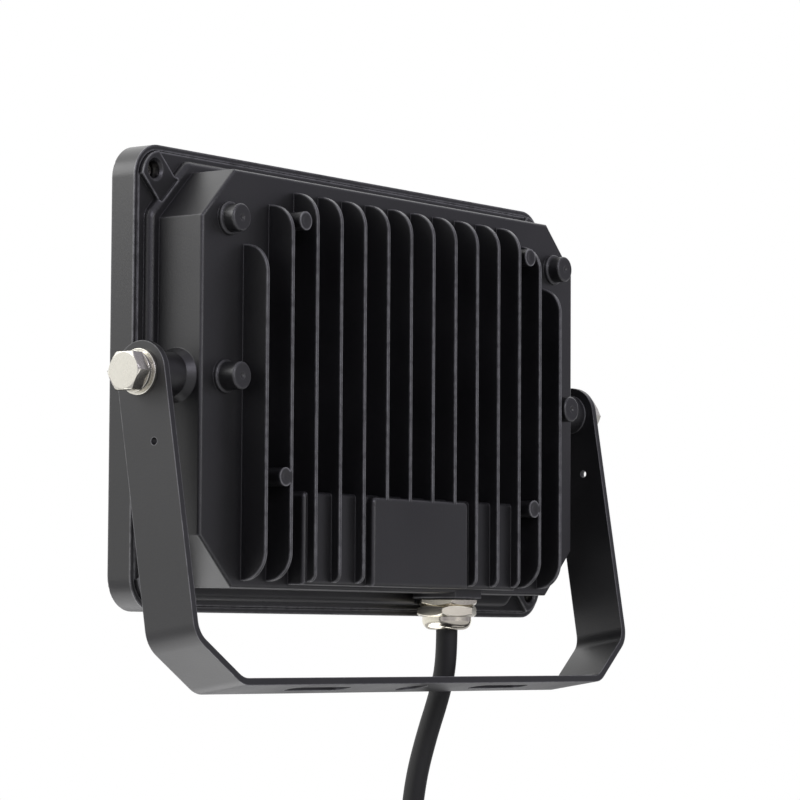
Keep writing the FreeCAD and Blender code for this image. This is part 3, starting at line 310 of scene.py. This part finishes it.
def ring(mesh, outline, centre, y):
    """Closed loop of new vertices square to Y; outline holds x and z from the centre."""
    return [mesh.verts.new((centre.x + x, y, centre.z + z)) for x, z in outline]


def skin(mesh, first, second):
    """Faces between two loops with the same number of vertices."""
    for i in range(len(first)):
        mesh.faces.new((first[i - 1], first[i], second[i], second[i - 1]))


def around(radius):
    """Outline of a screw's circle."""
    steps = [2 * math.pi * i / SCREW_SIDES for i in range(SCREW_SIDES)]
    return [(radius * math.cos(a), radius * math.sin(a)) for a in steps]


def cross(shares):
    """Outline of a cross with four arms; shares of the head give its reach and half width."""
    reach, half_width = (SCREW_HEAD * share for share in shares)
    arm = [(half_width, half_width), (half_width, reach), (-half_width, reach)]
    outline = []
    for _ in range(4):
        outline += arm
        arm = [(-z, x) for x, z in arm]
    return outline


def cross_screw(mesh, centre, head, seat, tip):
    """Pan-head screw with a real cross recess; head, seat and tip are its places along Y."""
    rise = head - seat
    circles = [(SCREW_HEAD * HEAD_TOP, head)]
    circles += [(SCREW_HEAD * width, seat + rise * height) for width, height in HEAD_PROFILE]
    circles += [(SCREW_SHANK, seat), (SCREW_SHANK, tip + rise * TIP_LENGTH)]
    circles += [(SCREW_SHANK * TIP_WIDTH, tip)]
    loops = [ring(mesh, around(radius), centre, y) for radius, y in circles]
    for first, second in zip(loops, loops[1:]):
        skin(mesh, first, second)
    mesh.faces.new(loops[-1])
    mouth = ring(mesh, cross(RECESS_MOUTH), centre, head)
    foot = ring(mesh, cross(RECESS_FOOT), centre, head - rise * RECESS_DEPTH)
    skin(mesh, mouth, foot)
    mesh.faces.new(foot)
    ends = [(loop[i - 1], loop[i]) for loop in (loops[0], mouth) for i in range(len(loop))]
    edges = [mesh.edges.get(pair) or mesh.edges.new(pair) for pair in ends]
    bmesh.ops.triangle_fill(mesh, edges=edges, use_beauty=True)


def feed(tree, sockets, values):
    """Set each socket to its value, or link it where the value is another node's output."""
    for socket, value in zip(sockets, values):
        if isinstance(value, bpy.types.NodeSocket):
            tree.links.new(value, socket)
        else:
            socket.default_value = value


def node(tree, kind, *inputs, **attributes):
    """New node with attributes; inputs feed its first sockets in order."""
    made = tree.nodes.new(kind)
    for key, value in attributes.items():
        setattr(made, key, value)
    feed(tree, made.inputs, inputs)
    return made


def set_inputs(tree, made, **inputs):
    """Feed a node's inputs by name, with _ for a space."""
    for key, value in inputs.items():
        feed(tree, [made.inputs[key.replace("_", " ")]], [value])
    return made


def maths(tree, operation, first, second):
    """Result of a Math node."""
    return node(tree, "ShaderNodeMath", first, second, operation=operation).outputs[0]


def ramp(tree, value, start, end, low, high, kind="SMOOTHSTEP"):
    """Change from low to high while a value goes from start to end."""
    made = node(
        tree, "ShaderNodeMapRange", value, start, end, low, high, interpolation_type=kind,
    )
    return made.outputs[0]


def colour_socket(sockets, name):
    """The colour socket of this name on a Mix node."""
    return next(socket for socket in sockets if socket.name == name and socket.type == "RGBA")


def blended(tree, factor, first, second):
    """A mix of two colours."""
    made = node(tree, "ShaderNodeMix", factor, data_type="RGBA")
    feed(tree, [colour_socket(made.inputs, name) for name in "AB"], [first, second])
    return colour_socket(made.outputs, "Result")


def mixed_shader(tree, factor, first, second):
    """A mix of two shaders."""
    return node(tree, "ShaderNodeMixShader", factor, first, second).outputs[0]


def noise(tree, size, detail, roughness=0.5):
    """Noise over the piece's own space; size is the output that gives its grains' size."""
    made = set_inputs(
        tree, node(tree, "ShaderNodeTexNoise"), Detail=detail, Roughness=roughness,
        Vector=node(tree, "ShaderNodeTexCoord").outputs["Object"],
        Scale=maths(tree, "DIVIDE", 1.0, size),
    )
    return made.outputs["Fac"]


def new_group(name, inputs, outputs):
    """Empty shader node group with named inputs and outputs."""
    group = bpy.data.node_groups.new(name, "ShaderNodeTree")
    for label, kind, value in inputs:
        socket = group.interface.new_socket(name=label, in_out="INPUT", socket_type=kind)
        socket.default_value = value
    for label, kind in outputs:
        group.interface.new_socket(name=label, in_out="OUTPUT", socket_type=kind)
    return group, group.nodes.new("NodeGroupInput").outputs, group.nodes.new("NodeGroupOutput")


def placed(tree, group, **inputs):
    """A shader node group placed in a material with its own values."""
    return set_inputs(tree, node(tree, "ShaderNodeGroup", node_tree=GROUPS[group]), **inputs)


def grain_group():
    """Fine grain of a coated or cast surface: its height, a small change of tone, patches."""
    group, given, leave = new_group(
        "Fine Grain",
        [("Size", FLOAT, 0.5 * MM), ("Patch Size", FLOAT, PATCH_SIZE), ("Tone", FLOAT, 0.1)],
        [("Height", FLOAT), ("Tone", FLOAT), ("Patch", FLOAT)],
    )
    fine = noise(group, given["Size"], detail=3.0, roughness=0.6)
    patch = noise(group, given["Patch Size"], detail=4.0)
    low = maths(group, "SUBTRACT", 1.0, given["Tone"])
    high = maths(group, "ADD", 1.0, given["Tone"])
    tone = ramp(group, maths(group, "ADD", fine, patch), *TONE_NOISE, low, high, "LINEAR")
    set_inputs(group, leave, Height=fine, Tone=tone, Patch=patch)
    return group


def edge_group():
    """Outer edges of a piece: a broken mask for a painted highlight, and a normal that rounds
    every edge.
    """
    group, given, leave = new_group(
        "Painted Edge Highlight and Round",
        [("Reach", FLOAT, 0.8 * MM), ("Round", FLOAT, 0.4 * MM), ("Breaks", FLOAT, 3 * MM)],
        [("Mask", FLOAT), ("Normal", VECTOR)],
    )
    near = node(
        group, "ShaderNodeAmbientOcclusion", samples=EDGE_SAMPLES, inside=True, only_local=True,
    )
    set_inputs(group, near, Distance=given["Reach"])
    # Convex edges found by inside occlusion give the mask of the painted highlight, broken up by
    # noise
    edge = ramp(group, near.outputs["AO"], *EDGE_SHELTER, 0.0, 1.0)
    breaks = noise(group, given["Breaks"], detail=4.0)
    broken = ramp(group, breaks, *BREAK_NOISE, BREAK_LEAST, 1.0)
    rounded = node(group, "ShaderNodeBevel", given["Round"], samples=ROUND_SAMPLES)
    set_inputs(
        group, leave, Mask=maths(group, "MULTIPLY", edge, broken), Normal=rounded.outputs[0],
    )
    return group


def toned_group():
    """A colour made lighter or darker by a tone."""
    group, given, leave = new_group(
        "Toned Colour", [("Colour", COLOUR, WHITE), ("Tone", FLOAT, 1.0)], [("Colour", COLOUR)],
    )
    scaled = node(group, "ShaderNodeVectorMath", given["Colour"], operation="SCALE")
    set_inputs(group, scaled, Scale=given["Tone"])
    set_inputs(group, leave, Colour=scaled.outputs[0])
    return group


def surface(
    name, colour, roughness, grain, bump, tone=0.1, rough_range=0.06, worn=None, reach=0, **shader
):
    """Material with a grain of some height, whose edges may carry a painted highlight as far in
    as reach.
    """
    material = bpy.data.materials.new(name)
    material.use_nodes = True
    tree = material.node_tree
    principled = set_inputs(tree, tree.nodes["Principled BSDF"], **shader)
    texture = placed(tree, "grain", Size=grain, Patch_Size=PATCH_SIZE, Tone=tone).outputs
    toned = placed(tree, "toned", Colour=(*colour[:3], 1), Tone=texture["Tone"])
    shade = toned.outputs["Colour"]
    # Painted highlight: the colour made lighter along the edge mask
    if worn:
        edge = placed(tree, "edge", Reach=reach, Round=reach / 2).outputs
        shade = blended(tree, edge["Mask"], shade, (*worn[:3], 1))
    rough = ramp(
        tree, texture["Patch"], *PATCH_NOISE, roughness - rough_range, roughness + rough_range,
        "LINEAR",
    )
    set_inputs(tree, principled, Base_Color=shade, Roughness=rough)
    if bump:
        relief = node(tree, "ShaderNodeBump")
        set_inputs(tree, relief, Strength=1.0, Distance=bump, Height=texture["Height"])
        if worn:
            set_inputs(tree, relief, Normal=edge["Normal"])
        set_inputs(tree, principled, Normal=relief.outputs["Normal"])
    return material


def dress(name, material):
    """Give a node of the frame its material."""
    slots = NODES[name].data.materials
    slots.clear()
    slots.append(material)
    for polygon in NODES[name].data.polygons:
        polygon.material_index = 0
    return NODES[name]


def soften(obj, width):
    """Round a piece's sharp edges with modifiers, its own mesh left as it is."""
    weld = obj.modifiers.new("Weld", "WELD")
    weld.merge_threshold = WELD_GAP
    flat = obj.modifiers.new("Flat Faces", "DECIMATE")
    flat.decimate_type = "DISSOLVE"
    flat.angle_limit = FLAT_ANGLE
    bevel = obj.modifiers.new("Edge Round", "BEVEL")
    bevel.width = width
    bevel.segments = ROUND_SEGMENTS
    bevel.limit_method = "ANGLE"
    bevel.angle_limit = ROUND_ANGLE
    for polygon in obj.data.polygons:
        polygon.use_smooth = True
    normal = obj.modifiers.new("Even Normals", "WEIGHTED_NORMAL")
    normal.keep_sharp = True


def dress_soft(names, material, width):
    """Give nodes their material and round their edges."""
    for name in names:
        soften(dress(name, material), width)


class FLOOD_OT_castings(bpy.types.Operator):
    """Powder coat the housing, the front frame and the stirrup"""

    bl_idname = "flood.castings"
    bl_label = "Castings and Stirrup"

    def execute(self, context):
        look = context.scene.flood_coat
        # The coat's outer edges get a painted highlight, a lighter colour along them
        coat = {
            "colour": look.colour, "roughness": look.roughness, "grain": look.grain,
            "bump": 0.035 * MM, "tone": 0.3, "IOR": 1.6, "worn": look.edge_highlight_colour,
        }
        cast = surface("Coat on Castings", reach=look.cast_highlight_reach, **coat)
        strip = surface("Coat on Strip", reach=look.strip_edge, **coat)
        dress_soft(("rear_housing", "front_frame"), cast, look.edge)
        dress_soft(("mounting_bracket",), strip, look.strip_edge)
        return {"FINISHED"}


class FLOOD_OT_metalware(bpy.types.Operator):
    """Plate the bolts, washers, screws and gland"""

    bl_idname = "flood.metalware"
    bl_label = "Bolts, Washers and Gland"

    def execute(self, context):
        look = context.scene.flood_metal
        nickel = surface(
            "Nickel Plate", look.nickel, 0.2, grain=0.8 * MM, bump=0.004 * MM, tone=0.06,
            Metallic=1.0,
        )
        steel = surface(
            "Bright Plate", look.steel, 0.24, grain=0.6 * MM, bump=0.004 * MM, tone=0.08,
            Metallic=1.0,
        )
        fibre = surface(
            "Black Fibre", (0.03, 0.03, 0.03), 0.8, grain=0.3 * MM, bump=0.02 * MM,
        )
        dress_soft(("gland_body", "gland_nut", "gland_lock_nut"), nickel, look.edge)
        dress_soft(("flat_washers", "spring_washers"), steel, look.edge)
        bolts = bmesh.new()
        bolts.from_mesh(NODES["swivel_bolts"].data)
        turn = Matrix.Rotation(look.bolt_turn, 3, "X")
        bmesh.ops.rotate(bolts, verts=bolts.verts, cent=TILT_AXIS, matrix=turn)
        turned = finished("swivel_bolts_tightened", bolts, steel, own_frame=False)
        self.stand_in(turned, "swivel_bolts")
        soften(turned, look.edge)
        dress_soft(("led_board_screws", "driver_screws", "earth_screw"), steel, look.edge)
        for name, toward_tip in (("frame_screws", -1), ("reflector_screws", 1)):
            mesh = bmesh.new()
            for low, high in loose_solids(name):
                head, tip = (low.y, high.y) if toward_tip > 0 else (high.y, low.y)
                seat = head + toward_tip * SCREW_HEAD_HEIGHT
                cross_screw(mesh, (low + high) / 2, head, seat, tip)
            self.stand_in(finished(name + "_recessed", mesh, steel), name)
        dress_soft(("friction_rings",), fibre, THIN_EDGE)
        return {"FINISHED"}

    def stand_in(self, made, node_name):
        """Hide the node that the new screws or bolts stand in for."""
        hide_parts(node_name)


class FLOOD_OT_glazing(bpy.types.Operator):
    """Glass pane and its rubber"""

    bl_idname = "flood.glazing"
    bl_label = "Glass and Seal"

    def execute(self, context):
        glass = bpy.data.materials.new("Toughened Glass")
        glass.use_nodes = True
        set_inputs(
            glass.node_tree, glass.node_tree.nodes["Principled BSDF"],
            Base_Color=(0.93, 0.97, 0.95, 1), Roughness=0.02, IOR=1.5, Transmission_Weight=1.0,
        )
        dress("glass_pane", glass)
        rubber = surface(
            "Silicone Rubber", (0.30, 0.30, 0.29), 0.6, grain=0.4 * MM, bump=0.01 * MM,
        )
        soft_black = surface(
            "Seal Rubber", (0.02, 0.02, 0.02), 0.6, grain=0.4 * MM, bump=0.01 * MM,
        )
        dress_soft(("glass_seal",), rubber, SOFT_EDGE)
        dress_soft(("gland_washer", "gland_seal"), soft_black, THIN_EDGE)
        return {"FINISHED"}


class FLOOD_OT_light_source(bpy.types.Operator):
    """Reflector, light board and chips"""

    bl_idname = "flood.light_source"
    bl_label = "Light Source"

    def execute(self, context):
        sheet = surface(
            "Bright Anodised Sheet", (0.72, 0.72, 0.73), 0.26, grain=0.5 * MM, bump=0,
            tone=0.03, rough_range=0.03, Metallic=1.0,
        )
        board = surface(
            "White Solder Mask", (0.80, 0.80, 0.78), 0.35, grain=0.3 * MM, bump=0.003 * MM,
            tone=0.03,
        )
        chip = surface(
            "Chip Moulding", (0.74, 0.73, 0.68), 0.4, grain=0.2 * MM, bump=0.004 * MM,
            tone=0.04,
        )
        phosphor = surface(
            "Phosphor", (0.84, 0.52, 0.06), 0.35, grain=0.25 * MM, bump=0.006 * MM,
        )
        pad = surface("Heat Pad", (0.35, 0.40, 0.43), 0.8, grain=0.6 * MM, bump=0.02 * MM)
        for name, material in (("reflector", sheet), ("led_board", board), ("led_chips", chip)):
            soften(dress(name, material), SMALL_EDGE)
        mesh = bmesh.new()
        half, cut = PHOSPHOR_HALF, PHOSPHOR_CORNER
        outline = [(half, half - cut), (half - cut, half)]
        outline += [(-z, x) for x, z in outline]
        outline += [(-x, -z) for x, z in outline]
        smaller = [(x * PHOSPHOR_TOP, z * PHOSPHOR_TOP) for x, z in outline]
        for low, high in loose_solids("led_chips"):
            centre = (low + high) / 2
            top = ring(mesh, smaller, centre, low.y - PHOSPHOR_PROUD)
            foot = ring(mesh, outline, centre, low.y + PHOSPHOR_PROUD)
            skin(mesh, top, foot)
            mesh.faces.new(top)
            mesh.faces.new(foot)
        finished("phosphor", mesh, phosphor)
        dress("thermal_pad", pad)
        return {"FINISHED"}


class FLOOD_OT_electronics(bpy.types.Operator):
    """Driver, terminals, leads and motion sensor"""

    bl_idname = "flood.electronics"
    bl_label = "Electronics"

    def execute(self, context):
        for title, (colour, roughness, names) in ELECTRONIC_FINISHES.items():
            material = surface(title, colour, roughness, grain=0.3 * MM, bump=0.004 * MM)
            if title == "Earth Insulation":
                self.stripe(material.node_tree)
            dress_soft(names, material, SMALL_EDGE)
        tinned = surface(
            "Tinned Copper", (0.62, 0.62, 0.61), 0.3, grain=0.4 * MM, bump=0.004 * MM,
            Metallic=1.0,
        )
        dress_soft(("earth_ring", "sensor_shield", "end_ferrules"), tinned, THIN_EDGE)
        return {"FINISHED"}

    def stripe(self, tree):
        """Yellow on one side of the green earth cores."""
        principled = tree.nodes["Principled BSDF"]
        green = principled.inputs["Base Color"].links[0].from_socket
        facing = node(tree, "ShaderNodeTexCoord").outputs["Normal"]
        side = node(tree, "ShaderNodeSeparateXYZ", facing).outputs["X"]
        share = ramp(tree, side, -STRIPE_BLEND, STRIPE_BLEND, 0.0, 1.0)
        set_inputs(tree, principled, Base_Color=blended(tree, share, green, EARTH_YELLOW))


def coil_points():
    """Points of the coil: from where the cord comes down, round and back in lanes."""
    start = Vector(CORD_ROUTE[-1]) * MM
    reach = COIL_RADIUS / math.cos(math.pi / COIL_POINTS)
    centre_x = start.x + COIL_RADIUS
    points = []
    for step in range(COIL_TURNS * COIL_POINTS + 1):
        turned = step / COIL_POINTS
        angle = math.pi + turned * 2 * math.pi
        radius = reach + COIL_WANDER * math.sin(turned * COIL_WANDER_PACE)
        points.append(Vector((
            centre_x + radius * math.cos(angle), start.y + COIL_LANE * turned,
            COIL_CENTRE_Z + radius * math.sin(angle),
        )))
    return points


class FLOOD_OT_cord(bpy.types.Operator):
    """Rubber mains cord, coiled and tied below the lamp"""

    bl_idname = "flood.cord"
    bl_label = "Mains Cord"

    def execute(self, context):
        look = context.scene.flood_cord
        rubber = surface(
            "Cord Rubber", look.colour, look.roughness, grain=0.5 * MM, bump=0.012 * MM,
            tone=0.15, IOR=1.4,
        )
        strap = surface(
            "Strap Nylon", (0.02, 0.02, 0.02), 0.5, grain=0.4 * MM, bump=0.01 * MM,
        )
        turns = coil_points()
        tail = turns[-1] - Vector((0, 0, TAIL_LENGTH))
        points = [Vector(p) * MM for p in CORD_ROUTE] + turns + [(turns[-1] + tail) / 2, tail]
        curve = bpy.data.curves.new("cord", "CURVE")
        curve.dimensions = "3D"
        curve.bevel_depth = CORD_RADIUS
        curve.bevel_resolution = 7
        curve.resolution_u = 10
        curve.use_fill_caps = True
        spline = curve.splines.new("NURBS")
        spline.points.add(len(points) - 1)
        for made, place in zip(spline.points, points):
            made.co = (*place, 1.0)
        spline.order_u = 3
        spline.use_endpoint_u = True
        curve.materials.append(rubber)
        cord = bpy.data.objects.new("mains_cord", curve)
        context.collection.objects.link(cord)
        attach(cord, "head")
        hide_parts("cord_lead", "cord_coil", "cord_tail")
        dress_soft(("coil_tie",), strap, SOFT_EDGE)
        dress("inner_jacket", rubber)
        return {"FINISHED"}


def studio_world(look):
    """White to the camera; as light, bright in front, brighter above and dim behind."""
    world = bpy.data.worlds.new("Studio")
    bpy.context.scene.world = world
    world.use_nodes = True
    tree = world.node_tree
    tree.nodes.clear()
    direction = node(tree, "ShaderNodeTexCoord").outputs["Generated"]
    way = node(tree, "ShaderNodeSeparateXYZ", direction).outputs
    level = ramp(tree, way["Y"], *TURN_TO_REAR, look.front_light, look.rear_light)
    above = ramp(tree, way["Z"], *TURN_TO_TOP, 1.0, 1.0 + look.upper_light)
    rearness = ramp(tree, way["Y"], *TURN_TO_REAR, 0.0, 1.0)
    shade = blended(tree, rearness, WHITE, (*look.rear_tint, 1))
    light = node(tree, "ShaderNodeBackground", shade, maths(tree, "MULTIPLY", level, above))
    paper = node(tree, "ShaderNodeBackground", WHITE)
    rays = node(tree, "ShaderNodeLightPath").outputs
    seen = maths(tree, "MAXIMUM", rays["Is Camera Ray"], rays["Is Transmission Ray"])
    chosen = mixed_shader(tree, seen, light.outputs[0], paper.outputs[0])
    node(tree, "ShaderNodeOutputWorld", chosen)


def pale_floor(look):
    """Matt floor, pale to the camera, greyer as a reflector, and clear from below."""
    material = bpy.data.materials.new("Pale Floor")
    material.use_nodes = True
    tree = material.node_tree
    tree.nodes.remove(tree.nodes["Principled BSDF"])
    bounce, pale = (
        node(tree, "ShaderNodeBsdfDiffuse", (shade, shade, shade, 1)).outputs[0]
        for shade in (look.floor_bounce, look.floor_shade)
    )
    camera_ray = node(tree, "ShaderNodeLightPath").outputs["Is Camera Ray"]
    below = node(tree, "ShaderNodeNewGeometry").outputs["Backfacing"]
    clear = node(tree, "ShaderNodeBsdfTransparent").outputs[0]
    sided = mixed_shader(tree, below, mixed_shader(tree, camera_ray, bounce, pale), clear)
    set_inputs(tree, tree.nodes["Material Output"], Surface=sided)
    return material


def soft_lamp(name, place, aim, size, brightness):
    """Rectangular soft lamp of this brightness and size, turned to the point aim."""
    data = bpy.data.lights.new(name, "AREA")
    data.shape = "RECTANGLE"
    data.size, data.size_y = size
    data.energy = brightness * math.pi * size[0] * size[1]
    lamp = bpy.data.objects.new(name, data)
    bpy.context.collection.objects.link(lamp)
    lamp.location = place
    lamp.rotation_euler = (Vector(aim) - Vector(place)).to_track_quat("-Z", "Y").to_euler()
    lamp.visible_camera = False
    return lamp


class FLOOD_OT_stage(bpy.types.Operator):
    """Floor, light and camera"""

    bl_idname = "flood.stage"
    bl_label = "Stage"

    def execute(self, context):
        look = context.scene.flood_stage
        studio_world(look)
        lamps = {row[0]: soft_lamp(*row) for row in LAMPS}
        lamps["Key Lamp"].data.color = look.rear_tint
        mesh = bpy.data.meshes.new("floor")
        corners = [(x * FLOOR_HALF, y * FLOOR_HALF, look.floor_drop)
                   for x, y in ((-1, -1), (1, -1), (1, 1), (-1, 1))]
        mesh.from_pydata(corners, [], [(0, 1, 2, 3)])
        floor = bpy.data.objects.new("floor", mesh)
        context.collection.objects.link(floor)
        mesh.materials.append(pale_floor(look))
        self.place_camera(context)
        context.scene.view_settings.view_transform = "Standard"
        return {"FINISHED"}

    def place_camera(self, context):
        """Camera where the photograph was taken from."""
        ahead = Vector((
            -math.sin(CAMERA_YAW) * math.cos(CAMERA_PITCH),
            -math.cos(CAMERA_YAW) * math.cos(CAMERA_PITCH),
            math.sin(CAMERA_PITCH),
        ))
        level = Vector((-math.cos(CAMERA_YAW), math.sin(CAMERA_YAW), 0))
        over = level.cross(ahead)
        right = math.cos(CAMERA_ROLL) * level + math.sin(CAMERA_ROLL) * over
        up = math.cos(CAMERA_ROLL) * over - math.sin(CAMERA_ROLL) * level
        turn = Matrix([HEAD_TURN @ axis for axis in (right, up, -ahead)]).transposed()
        data = bpy.data.cameras.new("camera")
        data.sensor_fit = "HORIZONTAL"
        data.sensor_width = SENSOR_WIDTH
        data.lens = FOCAL_SHARE * SENSOR_WIDTH
        data.clip_start = CLIP_START
        data.clip_end = CLIP_END
        camera = bpy.data.objects.new("camera", data)
        context.collection.objects.link(camera)
        camera.matrix_world = Matrix.Translation(in_part(CAMERA_PLACE)) @ turn.to_4x4()
        context.scene.camera = camera


class FLOOD_PT_panel(bpy.types.Panel):
    """Panel in the sidebar with the settings and a button for each group of pieces"""

    bl_label = "Floodlight"
    bl_idname = "FLOOD_PT_panel"
    bl_space_type = "VIEW_3D"
    bl_region_type = "UI"
    bl_category = "Floodlight"

    def draw(self, context):
        for settings in SETTINGS:
            group = getattr(context.scene, settings)
            for key in group.__annotations__:
                self.layout.prop(group, key)
        for operator in OPERATORS:
            self.layout.operator(operator.bl_idname)


SETTINGS = {
    "flood_coat": CoatSettings,
    "flood_metal": MetalSettings,
    "flood_cord": CordSettings,
    "flood_stage": StageSettings,
}
OPERATORS = (
    FLOOD_OT_castings,
    FLOOD_OT_metalware,
    FLOOD_OT_glazing,
    FLOOD_OT_light_source,
    FLOOD_OT_electronics,
    FLOOD_OT_cord,
    FLOOD_OT_stage,
)
GROUPS = {}  # shader node groups, made by main


def register():
    """Register the settings, operators and panel."""
    for settings in SETTINGS.values():
        bpy.utils.register_class(settings)
    for name, settings in SETTINGS.items():
        setattr(bpy.types.Scene, name, PointerProperty(type=settings))
    for made in (*OPERATORS, FLOOD_PT_panel):
        bpy.utils.register_class(made)


def unregister():
    """Take them out again."""
    for made in (FLOOD_PT_panel, *reversed(OPERATORS)):
        bpy.utils.unregister_class(made)
    for name, settings in SETTINGS.items():
        delattr(bpy.types.Scene, name)
        bpy.utils.unregister_class(settings)


def main():
    """Dress every piece and set the stage."""
    register()
    GROUPS.update(grain=grain_group(), toned=toned_group(), edge=edge_group())
    for operator in OPERATORS:
        section, name = operator.bl_idname.split(".")
        getattr(getattr(bpy.ops, section), name)()


if __name__ == "__main__":
    main()
